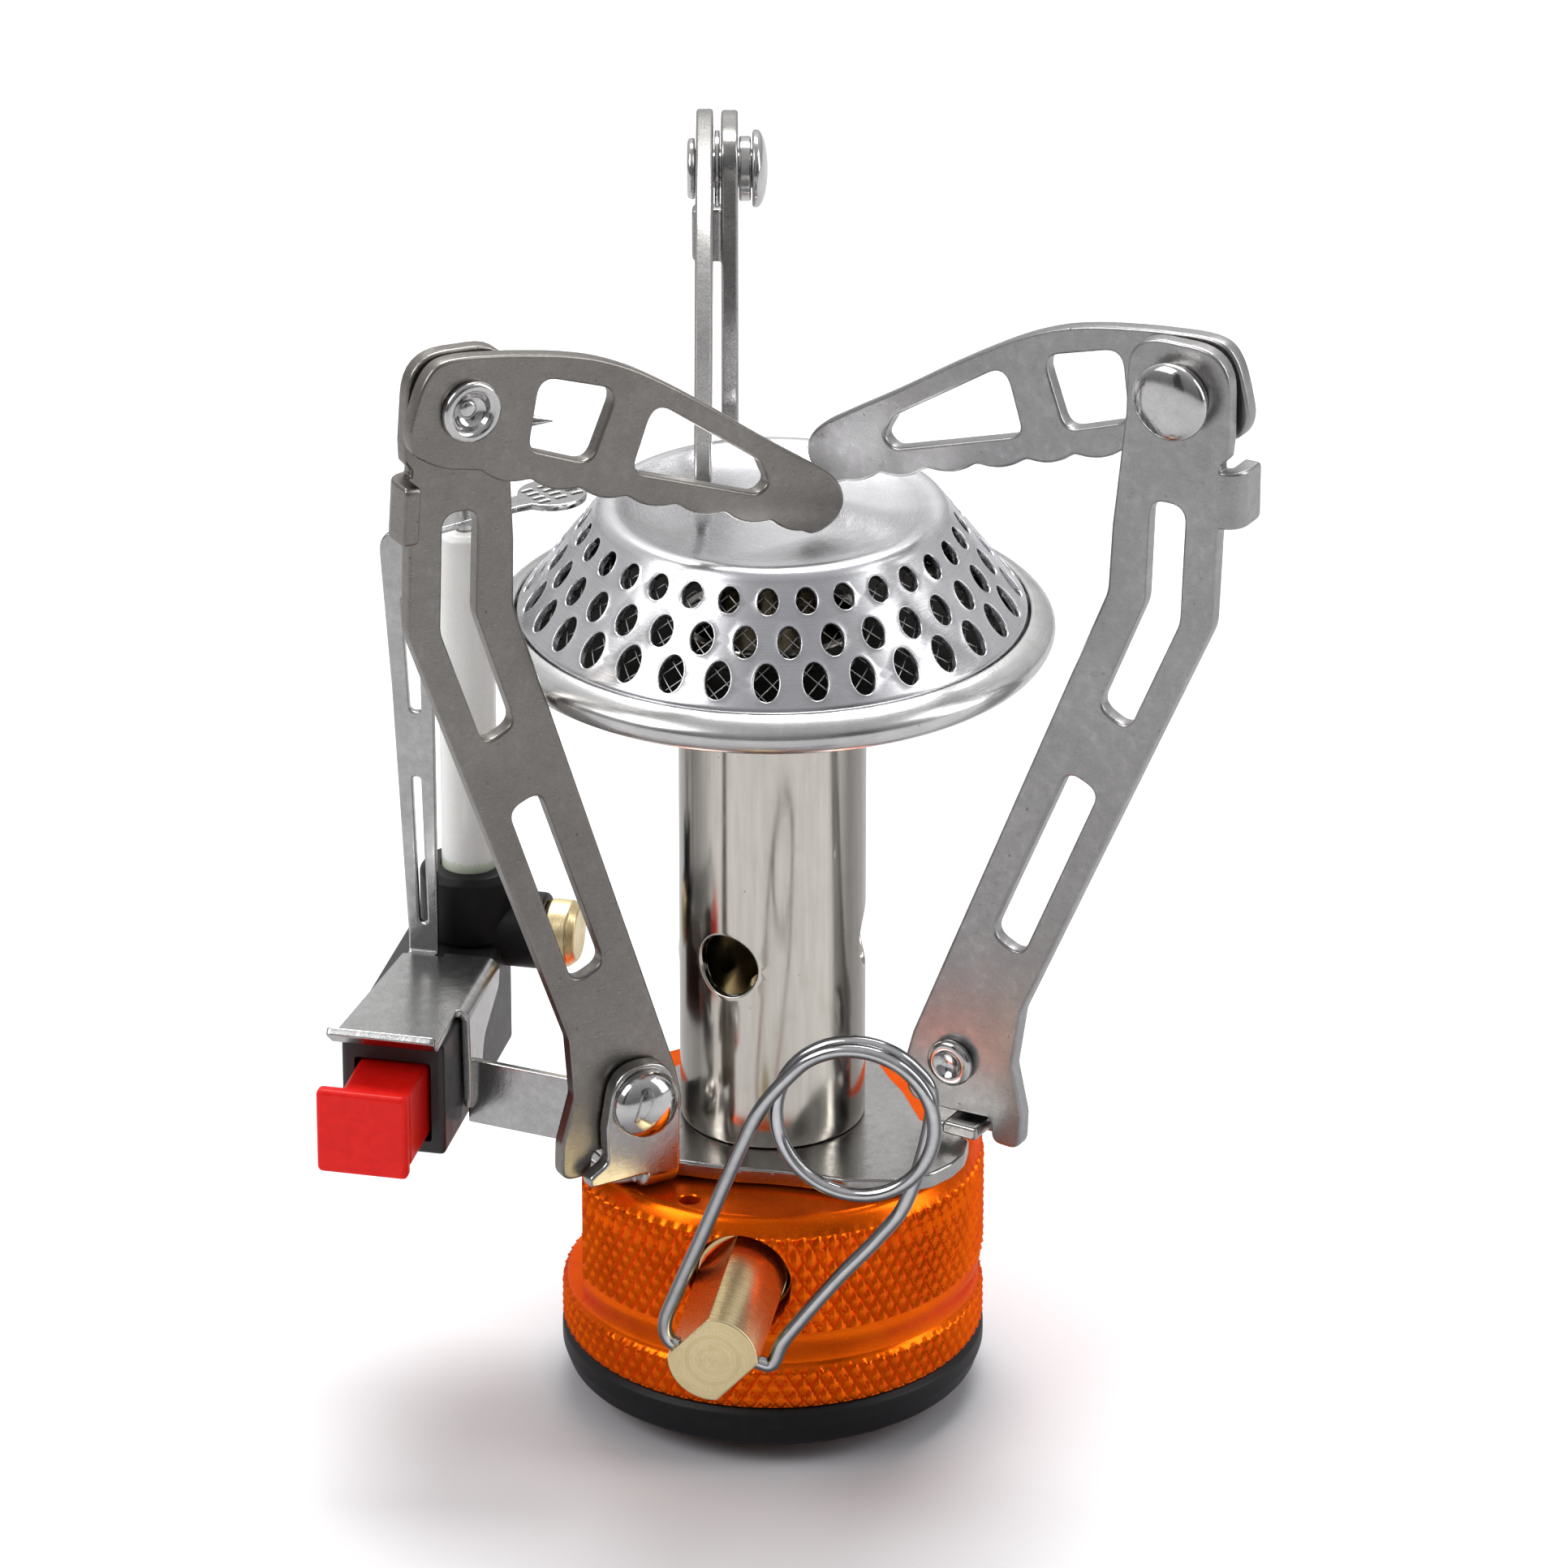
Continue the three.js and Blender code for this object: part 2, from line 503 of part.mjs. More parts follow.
function armGeometry() {
  const points = [ARM_CUSPS[0]];
  for (let i = 1; i < ARM_CUSPS.length; i++) {
    const [x0, y0] = ARM_CUSPS[i - 1];
    const [x1, y1] = ARM_CUSPS[i];
    const depth = i < ARM_CUSPS.length - 1 ? LOBE.depth : LOBE.lastDepth;
    for (const t of [0.25, 0.5, 0.75, 1]) {
      const bulge = 4 * t * (1 - t) * depth;
      points.push([x0 + (x1 - x0) * t + LOBE.x * bulge, y0 + (y1 - y0) * t + LOBE.y * bulge]);
    }
  }
  const outline = polygon([...points, ...ARM_EDGE]);
  outline.holes.push(
    ...ARM_WINDOWS.map(corners => roundedHole(corners)),
    roundHole(0, 0, TOP_RIVET_R + 0.12));
  return plate(outline, ARM.outer - ARM.inner).translate(0, 0, -ARM.outer);
}

// Leg about its lower pivot.
function legGeometry() {
  const aboutPivot = corners => corners.map(([out, z, radius]) => [
    out - LOW_PIVOT.out, z - LOW_PIVOT.z, radius]);
  const outline = rounded(aboutPivot(LEG_OUTLINE));
  outline.holes.push(
    ...LEG_SLOTS.map(corners => roundedHole(aboutPivot(corners))),
    roundHole(0, 0, LOW_RIVET_R + 0.12),
    roundHole(pivotRise.out, pivotRise.z, TOP_RIVET_R + 0.06));
  const sheet = plate(outline, LEG.outer - LEG.inner).translate(0, 0, -LEG.outer);
  // The flap is extruded downward and passes under the arm.
  const flap = plate(rounded(FLAP_SECTION, 4), FLAP_Z1 - FLAP_Z0).applyMatrix4(
    frame(X, Z, vec3(0, -1, 0), vec3(-LOW_PIVOT.out, FLAP_Z1 - LOW_PIVOT.z, 0)));
  return toGeometry(join(solid(sheet), flap));
}

// Revolved about local Z, with offsets running toward -Z.
const pivotPart = (profile, segments, closed) =>
  revolve(profile.map(([radius, offset]) => [radius, -offset]), segments, closed);

function addLegs() {
  const leg = legGeometry();
  const arm = armGeometry();
  LEGS.forEach(({ azimuth, fold }, i) => {
    const number = i + 1;
    const plane = new THREE.Group();
    plane.applyMatrix4(legFrame(azimuth));
    stove.add(plane);

    const low = new THREE.Group();
    low.position.set(LOW_PIVOT.out, LOW_PIVOT.z, 0);
    plane.add(low);
    put(low, `lower_rivet_${number}`, pivotPart(LOW_RIVET, 16), 'steel');

    const swing = new THREE.Group();       // turns with the leg
    swing.position.copy(low.position);
    swing.rotation.z = rad(fold);
    plane.add(swing);
    put(swing, `leg_${number}`, leg, 'steel');

    const top = new THREE.Group();
    top.position.set(pivotRise.out, pivotRise.z, 0);
    swing.add(top);
    put(top, `upper_rivet_${number}`, pivotPart(TOP_RIVET, 18), 'bright');
    put(top, `collar_${number}`, pivotPart(COLLAR, 18, true), 'steel');
    put(top, `washer_${number}`, pivotPart(WASHER, 18, true), 'steel');
    put(top, `arm_${number}`, arm, 'steel');
  });
}

// ------------------------------------------------------- needle valve and handle
// Valve frame: Z is outward along the spindle, Y is up.
const SPINDLE_R = 3.15;
const SPINDLE_END = 25.9;
const SPINDLE_FLAT = { distance: 2.35, degrees: 137, start: 13.2 };
const HINGE_OUT = 24.7;            // wire handle pivot: distance out, tilt
const HINGE_TILT = -9.5;
const HANDLE_WIRE_R = 0.52;
// Handle sides: x, y, distance outward from the hinge.
const HANDLE_RISE = [
  [-3.4, 1.1, 0.0], [-3.45, 2.2, 0.05], [-2.79, 4.13, 0.15], [-0.79, 9.23, 0.45],
  [1.93, 16.3, 0.82], [3.3, 19.4, 0.88]];
const HANDLE_RETURN = [
  [13.1, 12.5, -0.35], [11.27, 9.72, -0.3], [8.66, 6.59, -0.2], [6.04, 3.12, -0.08],
  [4.65, 1.1, -0.02]];
const LOOP = {                     // coiled finger loop of the handle, wound clockwise
  x: 9.7, y: 18.85, radius: 5.5, start: 146, limit: -356, step: 22,
  outward: 0.9, shift: 1.25, shiftAfter: 215, shiftOver: 140,   // steps inward late in the coil
};

function addSpindle(valve) {
  const rod = revolve([            // needle, O-ring groove, then the plain shank
    [0, 1.4], [0.5, 2.4], [0.75, 6.2], [1.6, 6.4], [1.6, 7.0], [2.3, 7.2], [2.3, 9.6],
    [SPINDLE_R - 0.05, 10.2], [SPINDLE_R - 0.05, 10.7], [2.35, 10.75], [2.35, 12.15],
    [SPINDLE_R - 0.05, 12.2], [SPINDLE_R, 13.2], [SPINDLE_R, SPINDLE_END - 0.15],
    [SPINDLE_R - 0.15, SPINDLE_END], [0, SPINDLE_END]], 32);
  const flats = [0, 180].map(turn => box(SPINDLE_FLAT.distance, 6, -6, 6, SPINDLE_FLAT.start, 30)
    .rotateZ(rad(SPINDLE_FLAT.degrees + turn)));
  const hingeHole = bar(
    vec3(...polar(-5, HINGE_TILT), HINGE_OUT), vec3(...polar(5, HINGE_TILT), HINGE_OUT), 0.72, 12);
  put(valve, 'valve_spindle', cut(solid(rod), ...flats, hingeHole), 'brass');
  put(valve, 'spindle_o_ring', revolve([
    [2.42, 10.85], [2.42, 12.05], [2.9, 12.1], [3.28, 11.75], [3.28, 11.15],
    [2.9, 10.8]], 24, true), 'rubber');
}

function addHandle(valve) {
  const onHinge = distance => [...polar(distance, HINGE_TILT), 0];
  const loop = [];
  for (let degrees = LOOP.start; degrees >= LOOP.limit; degrees -= LOOP.step) {
    const [x, y] = polar(LOOP.radius, degrees);
    const late = (LOOP.start - degrees - LOOP.shiftAfter) / LOOP.shiftOver;
    const outward = LOOP.outward - LOOP.shift * THREE.MathUtils.clamp(late, 0, 1);
    loop.push([LOOP.x + x, LOOP.y + y, outward]);
  }
  const path = [
    ...[-0.95, -2.1, -3.0].map(onHinge), ...HANDLE_RISE, ...loop,
    ...HANDLE_RETURN, ...[3.9, 2.9, 0.95].map(onHinge),
  ].map(([x, y, outward]) => vec3(x, y, HINGE_OUT + outward));
  put(valve, 'wire_handle', wire(path, HANDLE_WIRE_R, 96, 6, 'centripetal'), 'wire');
}

function addNeedleValve() {
  const valve = new THREE.Group();
  valve.applyMatrix4(frame(spindleSide, Z, spindleOut, spindlePoint(0)));
  stove.add(valve);
  addSpindle(valve);
  addHandle(valve);
}

// --------------------------------------------------------------- piezo igniter
// Igniter frame: origin under the button end of the body, Y along the body away
// from the button, +X toward the stove axis. Heights stay on the stove datum.
const IGNITER = { x: -26.5, y: -6.9, yaw: -13 };
const CASE_Z0 = 22.3;
const CASE_Z1 = CASE_Z0 + 8.6;
const CASE_HALF = 7.4 / 2;         // half width
const CASE_LENGTH = 19.0;
const BUTTON_Z = 26.2;
const SPRING = { radius: 1.3, wire: 0.2, start: 4.95, length: 5.1, perTurn: 8, points: 32 };
const SHEET = 0.6;                 // holder sheet thickness
const ROOF_Z0 = CASE_Z1 + 0.1;
const ROOF_Z1 = ROOF_Z0 + SHEET;
const MAST_Y = 12.8;
const MAST_TOP = 63.85;

// Stove position to igniter frame.
function toIgniter(x, y) {
  const [cosYaw, sinYaw] = polar(1, IGNITER.yaw);
  const dx = x - IGNITER.x;
  const dy = y - IGNITER.y;
  return [cosYaw * dx + sinYaw * dy, -sinYaw * dx + cosYaw * dy];
}

const [RIVET_X, RIVET_Y] = toIgniter(-10.4, -5.4);
const [ELECTRODE_X, ELECTRODE_Y] = toIgniter(-21.5, 11.0);

function addCaseAndButton(igniter) {
  const body = cut(
    solid(box(-CASE_HALF, CASE_HALF, 0, CASE_LENGTH, CASE_Z0, CASE_Z1)),
    box(-2.75, 2.75, -1, 10.4, BUTTON_Z - 2.9, BUTTON_Z + 3.2));
  put(igniter, 'igniter_body', body, 'black');

  const axisZ = BUTTON_Z + 0.1;    // axis of the spring and of its socket
  const face = box(-4.1, 2.4, -5.4, -4.3, BUTTON_Z - 3.3, BUTTON_Z + 3.05);
  const stem = box(-2.45, 2.45, -4.5, 6.0, BUTTON_Z - 2.6, BUTTON_Z + 2.9);
  const socket = bar(vec3(0, 1.0, axisZ), vec3(0, 7, axisZ), 1.75, 20);
  put(igniter, 'igniter_button', cut(join(solid(face), stem), socket), 'red');

  const coil = [];
  for (let k = 0; k <= SPRING.points; k++) {
    const [x, z] = polar(SPRING.radius, 360 * k / SPRING.perTurn);
    coil.push(vec3(x, SPRING.start + SPRING.length * k / SPRING.points, axisZ + z));
  }
  put(igniter, 'button_spring', wire(coil, SPRING.wire, 48, 5), 'wire');
}

// Roof over the case, with a raised lip at the button end.
function holderRoof() {
  const x0 = -4.1;
  const x1 = 3.8;
  const roof = rounded([
    [x0, -0.9, 0.3], [x1, -0.9, 0.3], [4.3, 6.0, 2.0], [4.85, 13.5, 0.3], [-2.4, 13.5, 0.2]]);
  const lip = rounded([            // y, z, corner radius
    [-0.6, ROOF_Z0, 0], [-0.6, ROOF_Z1, 0], [-1.1, ROOF_Z1 + 0.05, 0],
    [-2.1, ROOF_Z1 + 1.2, 0], [-2.55, ROOF_Z1 + 0.85, 0], [-1.5, ROOF_Z0 - 0.05, 0.3]]);
  return [plate(roof, SHEET).translate(0, 0, ROOF_Z0), plateAlongX(lip, x1 - x0, x0)];
}

// Strap down the +X side of the case.
function holderStrap() {
  const strap = rounded([          // y, z, corner radius
    [4.6, ROOF_Z0 + 0.3, 0], [4.9, CASE_Z0 + 1.2, 1.2], [7.0, CASE_Z0 + 1.2, 1.6],
    [8.2, 27.6, 2.5], [13.0, ROOF_Z0 - 1.6, 0.8], [13.3, ROOF_Z0 + 0.3, 0]]);
  return plateAlongX(strap, SHEET, CASE_HALF + 0.12);
}

// Strip on edge from the strap to the bracket plate, then a flat foot on it.
function holderFoot() {
  const strip = ([x0, y0], [x1, y1], width) => {
    const scale = width / 2 / Math.hypot(x1 - x0, y1 - y0);
    const sideX = -(y1 - y0) * scale;
    const sideY = (x1 - x0) * scale;
    return polygon([[x0 + sideX, y0 + sideY], [x1 + sideX, y1 + sideY],
      [x1 - sideX, y1 - sideY], [x0 - sideX, y0 - sideY]]);
  };
  const strapEnd = [CASE_HALF + 0.3, 5.6];
  const footStart = toIgniter(-12.3, -6.3);
  const footEnd = toIgniter(-8.9, -4.7);
  return [
    plate(strip(strapEnd, footStart, SHEET), 4.9).translate(0, 0, PLATE_Z1 + 0.25),
    plate(strip(footStart, footEnd, 3.0), SHEET + 0.1).translate(0, 0, PLATE_Z1 + 0.08)];
}

function holderMast() {
  const mast = rounded([           // x, z, corner radius
    [-2.2, ROOF_Z0 + 0.1, 0], [-0.1, ROOF_Z0 + 0.1, 0], [-0.1, 46, 0],
    [-0.1, MAST_TOP, 0], [-3.9, MAST_TOP, 1.6], [-3.1, 52, 6]]);
  mast.holes.push(
    roundedHole([[-1.4, 33.8, 0.3], [-0.8, 33.8, 0.3], [-1.1, 45.2, 0.3], [-1.8, 45.2, 0.3]], 2),
    roundedHole([[-1.85, 50.2, 0.4], [-1.0, 50.2, 0.4], [-1.1, 59.0, 0.4], [-2.3, 59.0, 0.4]], 2));
  return plate(mast, SHEET)
    .applyMatrix4(frame(X, Z, vec3(0, -1, 0), vec3(0, MAST_Y + SHEET, 0)));
}

// Tongue from the mast top, ending in the perforated spark plate.
function holderTongue() {
  const [tipX, tipY] = toIgniter(-15.4, 12.3);
  const [rootX, rootY] = [-1.1, MAST_Y + 0.2];
  const length = Math.hypot(tipX - rootX, tipY - rootY);
  const ux = (tipX - rootX) / length;
  const uy = (tipY - rootY) / length;
  const at = (along, across) => [
    rootX + ux * along - uy * across, rootY + uy * along + ux * across];
  const oval = [];
  for (let k = 0; k < 16; k++) {
    const [x, y] = polar(1, -156 + 312 * k / 15);
    oval.push(at(length + 2.5 * x, 2.35 * y));
  }
  const tongue = polygon([
    at(0, 1.0), at(0, -1.0), at(length - 3.4, -0.8), ...oval, at(length - 3.4, 0.8)]);
  for (const x of [-1.35, 0, 1.35]) {
    for (const y of [-1.1, -0.35, 0.4, 1.15]) {
      const a0 = length + x - 0.45;
      const a1 = length + x + 0.45;
      tongue.holes.push(polygon(
        [at(a0, y - 0.17), at(a0, y + 0.17), at(a1, y + 0.17), at(a1, y - 0.17)], THREE.Path));
    }
  }
  return plate(tongue, 0.5).translate(0, 0, MAST_TOP - 0.1);
}

function addHolder(igniter) {
  const [roof, lip] = holderRoof();
  const sheet = join(solid(roof), lip, holderStrap(), ...holderFoot());
  const drilled = cut(sheet, post(RIVET_X, RIVET_Y, 20, 24.5, 0.85, 14));
  put(igniter, 'igniter_bracket', join(drilled, holderMast(), holderTongue()), 'steel');

  const rivet = [                  // radius, height above the bracket plate
    [0, 0.04], [0.75, 0.04], [0.75, 0.85], [1.5, 0.86], [1.3, 1.4], [0.6, 1.65], [0, 1.7]];
  put(igniter, 'bracket_rivet',
    revolve(lift(rivet, PLATE_Z1), 18).translate(RIVET_X, RIVET_Y, 0), 'steel');
}

// Rubber boot with side outlet, brass contact cap, ceramic tube and electrode.
function addElectrode(igniter) {
  const outletZ = 31.3;
  const insulatorTop = 62.0;
  const pinTopZ = 70.15;
  const x = ELECTRODE_X;
  const y = ELECTRODE_Y;
  const sideBar = (x0, x1, radius, segments) =>
    bar(vec3(x0, y, outletZ), vec3(x1, y, outletZ), radius, segments);

  const bootBody = revolve([
    [0, CASE_Z1 + 0.1], [3.5, CASE_Z1 + 0.1], [3.6, CASE_Z1 + 0.4], [3.6, 35.7],
    [3.2, 36.2], [0, 36.2]], 28).translate(x, y, 0);
  const boot = cut(
    join(solid(bootBody), sideBar(CASE_HALF + 0.2, x + 5.6, 2.75, 24)),
    post(x, y, 33.1, 39, 2.1, 20),
    sideBar(x + 3.9, x + 6, 1.3, 16));
  put(igniter, 'electrode_boot', boot, 'black');

  const cap = join(
    solid(sideBar(x + 5.65, x + 8.0, 2.4, 24)),
    sideBar(x + 4.0, x + 6, 1.2, 16));
  put(igniter, 'contact_cap', cap, 'brass');

  const insulator = revolve([
    [0, 33.2], [2.02, 33.2], [2.02, insulatorTop - 0.4], [1.6, insulatorTop],
    [0, insulatorTop]], 24).translate(x, y, 0);
  put(igniter, 'electrode_insulator',
    cut(solid(insulator), post(x, y, 32, 66, 0.66, 12)), 'ceramic');

  // The bent end points along the stove's +X.
  const [bendX, bendY] = polar(1, -IGNITER.yaw);
  const pinPoint = (reach, z) => vec3(x + bendX * reach, y + bendY * reach, z);
  const path = [                   // reach from the electrode axis, height
    [0, 33.3], [0, 45], [0, 57], [0, 66], [0, 68.6], [0.35, 69.7],
    [1.4, pinTopZ], [2.8, pinTopZ], [4.6, pinTopZ],
  ].map(([reach, z]) => pinPoint(reach, z));
  const pin = wire(path, 0.52, 24, 8, 'centripetal');
  const point = bar(pinPoint(4.55, pinTopZ), pinPoint(6.3, pinTopZ), 0.52, 8, 0.06);
  put(igniter, 'electrode_pin', join(solid(pin), point), 'brass');
}

function addIgniter() {
  const igniter = new THREE.Group();
  igniter.position.set(IGNITER.x, IGNITER.y, 0);
  igniter.rotation.z = rad(IGNITER.yaw);
  stove.add(igniter);
  addCaseAndButton(igniter);
  addHolder(igniter);
  addElectrode(igniter);
}

// ------------------------------------------------------------------ assembly
addValveBody();
addSeals();
addDepressorPin();
addSpindleGland();
addMixingTube();
addJet();
addBurnerPan();
addBurnerCap();
addBurnerMesh();
addLegBracket();
addLegs();
addNeedleValve();
addIgniter();

export default whole;
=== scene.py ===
import math
import bpy
import bmesh
import numpy as np
from mathutils import Vector, Matrix, geometry


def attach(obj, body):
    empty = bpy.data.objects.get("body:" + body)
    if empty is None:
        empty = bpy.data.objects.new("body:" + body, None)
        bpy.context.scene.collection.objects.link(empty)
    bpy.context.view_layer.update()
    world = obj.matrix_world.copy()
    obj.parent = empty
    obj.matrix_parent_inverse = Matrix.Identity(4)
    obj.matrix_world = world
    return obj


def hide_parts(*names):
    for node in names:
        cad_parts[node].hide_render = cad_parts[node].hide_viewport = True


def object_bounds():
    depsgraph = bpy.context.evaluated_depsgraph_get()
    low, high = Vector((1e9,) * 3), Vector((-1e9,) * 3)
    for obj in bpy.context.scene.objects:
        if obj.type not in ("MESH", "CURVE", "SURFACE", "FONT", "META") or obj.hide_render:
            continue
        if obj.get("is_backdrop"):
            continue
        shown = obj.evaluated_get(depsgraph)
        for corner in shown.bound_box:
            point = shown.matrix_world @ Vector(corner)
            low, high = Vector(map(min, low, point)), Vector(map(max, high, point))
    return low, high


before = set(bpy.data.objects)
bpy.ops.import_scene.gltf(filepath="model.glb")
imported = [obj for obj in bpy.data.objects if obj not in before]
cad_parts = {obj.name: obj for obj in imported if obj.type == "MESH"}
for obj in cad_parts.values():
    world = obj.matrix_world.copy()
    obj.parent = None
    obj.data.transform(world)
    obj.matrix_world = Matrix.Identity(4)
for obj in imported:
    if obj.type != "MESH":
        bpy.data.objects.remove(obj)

lo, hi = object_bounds()
CAD_BOX = [list(lo), list(hi)]
DATUM = 4.2
rad = math.radians

# ------------------------------------------------------------------ 2-D outlines
def unit(v):
    n = np.linalg.norm(v)
    return v / n if n > 0 else v

def fillet(pts, seg=6, closed=True, guard=0.05):
    """Polyline with rounded corners; pts are (x, y[, radius])."""
    out, n = [], len(pts)
    for i, p in enumerate(pts):
        P = np.array(p[:2], float)
        r = p[2] if len(p) > 2 else 0
        if r <= 0 or (not closed and i in (0, n - 1)):
            out.append(P)
            continue
        u = np.array(pts[i - 1][:2], float) - P
        w = np.array(pts[(i + 1) % n][:2], float) - P
        lu, lw = np.linalg.norm(u), np.linalg.norm(w)
        u, w = u / lu, w / lw
        ang = math.acos(max(-1, min(1, float(u @ w))))
        if ang > math.pi - 1e-3:
            out.append(P)
            continue
        d = min(r / math.tan(ang / 2), lu * 0.48, lw * 0.48)
        q0, q1 = P + u * d, P + w * d
        if guard and lu * 0.5 - d > guard:
            out.append(q0 + u * guard)
        for k in range(seg + 1):
            t = k / seg
            out.append((1 - t) ** 2 * q0 + 2 * t * (1 - t) * P + t * t * q1)
        if guard and lw * 0.5 - d > guard:
            out.append(q1 + w * guard)
    keep = [out[0]]
    for q in out[1:]:
        if np.linalg.norm(q - keep[-1]) > 1e-5:
            keep.append(q)
    if closed and np.linalg.norm(keep[0] - keep[-1]) < 1e-5:
        keep.pop()
    return np.array(keep)

def area(c):
    x, y = c[:, 0], c[:, 1]
    return 0.5 * float(np.sum(x * np.roll(y, -1) - np.roll(x, -1) * y))

def circle(cx, cy, r, n=32, ry=None):
    a = np.arange(n) * 2 * math.pi / n
    return np.stack([cx + r * np.cos(a), cy + (ry or r) * np.sin(a)], 1)

def inward(c):
    """Miter direction into the material, which lies on the left of the contour."""
    d1 = c - np.roll(c, 1, 0)
    d2 = np.roll(c, -1, 0) - c
    d1 /= np.maximum(np.linalg.norm(d1, axis=1, keepdims=True), 1e-12)
    d2 /= np.maximum(np.linalg.norm(d2, axis=1, keepdims=True), 1e-12)
    n1 = np.stack([-d1[:, 1], d1[:, 0]], 1)
    n2 = np.stack([-d2[:, 1], d2[:, 0]], 1)
    m = n1 + n2
    return m / np.maximum(1 + np.sum(n1 * n2, 1, keepdims=True), 0.4)

def smooth_open(pts, per=6):
    """Centripetal Catmull-Rom through the points (2-D or 3-D)."""
    p = [np.array(q, float) for q in pts]
    p = [2 * p[0] - p[1]] + p + [2 * p[-1] - p[-2]]
    out = []
    for i in range(1, len(p) - 2):
        p0, p1, p2, p3 = p[i - 1:i + 3]
        a, b, c = (max(np.linalg.norm(y - x) ** 0.5, 1e-4) for x, y in ((p0, p1), (p1, p2), (p2, p3)))
        t1 = ((p1 - p0) / a - (p2 - p0) / (a + b) + (p2 - p1) / b) * b
        t2 = ((p2 - p1) / b - (p3 - p1) / (b + c) + (p3 - p2) / c) * b
        k = per if np.isscalar(per) else per[i - 1]
        for j in range(k):
            t = j / k
            out.append(p1 + t1 * t + (-3 * p1 + 3 * p2 - 2 * t1 - t2) * t * t + (2 * p1 - 2 * p2 + t1 + t2) * t ** 3)
    out.append(p[-2])
    return np.array(out)

def inside(q, contours):
    """Even-odd test of points against all contours together."""
    r = np.zeros(len(q), bool)
    for c in contours:
        a, b = c, np.roll(c, -1, 0)
        for (x0, y0), (x1, y1) in zip(a, b):
            if y0 == y1:
                continue
            m = ((y0 > q[:, 1]) != (y1 > q[:, 1])) & (q[:, 0] < (x1 - x0) * (q[:, 1] - y0) / (y1 - y0) + x0)
            r ^= m
    return r

def cdt(contours, cons=(), extra=()):
    """Triangles over the contours' points (and extra points), inside the outer one and outside the holes."""
    pts = np.concatenate(list(contours) + ([np.array(extra)] if len(extra) else []))
    edges, off = [], 0
    for c in contours:
        n = len(c)
        edges += [(off + i, off + (i + 1) % n) for i in range(n)]
        off += n
    edges += list(cons)
    v, e, f, ov, oe, of_ = geometry.delaunay_2d_cdt([Vector(p) for p in pts], edges, [], 0, 1e-7)
    v = np.array([tuple(x) for x in v])
    back = [o[0] if o else None for o in ov]
    added = []
    for i, o in enumerate(back):
        if o is None:
            back[i] = len(pts) + len(added)
            added.append(v[i])
    tri = np.array([t for t in f if len(t) == 3])
    cen = v[tri].mean(1)
    ok = inside(cen, contours)
    out = []
    for t in tri[ok]:
        a, b, c = v[t]
        s = (b[0] - a[0]) * (c[1] - a[1]) - (b[1] - a[1]) * (c[0] - a[0])
        t = [back[k] for k in t]
        out.append(tuple(t) if s > 0 else (t[0], t[2], t[1]))
    return out, np.array(added).reshape(-1, 2)

def sheet(outer, holes, h0, h1, r=0.15, r0=None, n=3, g=0.05, levels=(), fmap=None):
    """Sheet metal part: flat outline with holes, thickness h0 to h1, rounded rims, optionally bent by fmap(u, v, h)."""
    cs = [np.array(outer)] + [np.array(h) for h in holes]
    cs = [c if (area(c) > 0) == (k == 0) else c[::-1] for k, c in enumerate(cs)]
    for P, nn, a, b in levels:
        nn = np.array(nn, float)
        tt = np.array([-nn[1], nn[0]])
        for ci, c in enumerate(cs):
            new = []
            for i in range(len(c)):
                p, q = c[i], c[(i + 1) % len(c)]
                sp, sq = (p - P) @ nn, (q - P) @ nn
                new.append(p)
                if sp * sq < -1e-14 and abs(sp) > 1e-6 and abs(sq) > 1e-6:
                    x = p + (q - p) * (sp / (sp - sq))
                    if a < (x - P) @ tt < b:
                        new.append(x)
            cs[ci] = np.array(new)
    inw = [inward(c) for c in cs]
    allc = np.concatenate(cs)
    cons = []
    for P, nn, a, b in levels:
        nn = np.array(nn, float)
        tt = np.array([-nn[1], nn[0]])
        s, t = (allc - P) @ nn, (allc - P) @ tt
        idx = [i for i in np.argsort(t) if abs(s[i]) < 2e-6 and a < t[i] < b]
        cons += [(int(idx[k]), int(idx[k + 1])) for k in range(0, len(idx) - 1, 2)]
    r0 = r if r0 is None else r0
    ring = [(r0 + g, h0)]
    for k in range(n + 1):
        a = math.pi / 2 * k / n
        ring.append((r0 * (1 - math.sin(a)), h0 + r0 * (1 - math.cos(a))))
    for k in range(n + 1):
        a = math.pi / 2 * k / n
        ring.append((r * (1 - math.cos(a)), h1 - r * (1 - math.sin(a))))
    ring.append((r + g, h1))
    top = [c + m * (r + g) for c, m in zip(cs, inw)]
    bot = [c + m * (r0 + g) for c, m in zip(cs, inw)]
    tris, add = cdt(top, cons)
    N = len(allc)
    V = []
    for d, h in ring:
        for c, m in zip(cs, inw):
            q = c + m * d
            V.append(np.column_stack([q, np.full(len(q), h)]))
    V = np.concatenate(V)
    base = len(V)
    if len(add):
        V = np.concatenate([V, np.column_stack([add, np.full(len(add), h1)]), np.column_stack([add, np.full(len(add), h0)])])
    F, G = [], []
    J = len(ring)
    for j in range(J - 1):
        off = 0
        for c in cs:
            k = len(c)
            for i in range(k):
                a, b = off + i, off + (i + 1) % k
                F.append((j * N + a, j * N + b, (j + 1) * N + b, (j + 1) * N + a))
                G.append(0 if j in (0, J - 2) else 1)
            off += k
    up = lambda i: (J - 1) * N + i if i < N else base + i - N
    dn = lambda i: i if i < N else base + len(add) + i - N
    for a, b, c in tris:
        F.append((up(a), up(b), up(c)))
        F.append((dn(a), dn(c), dn(b)))
        G += [0, 0]
    if fmap is not None:
        V = fmap(V[:, 0], V[:, 1], V[:, 2])
    return V, F, G

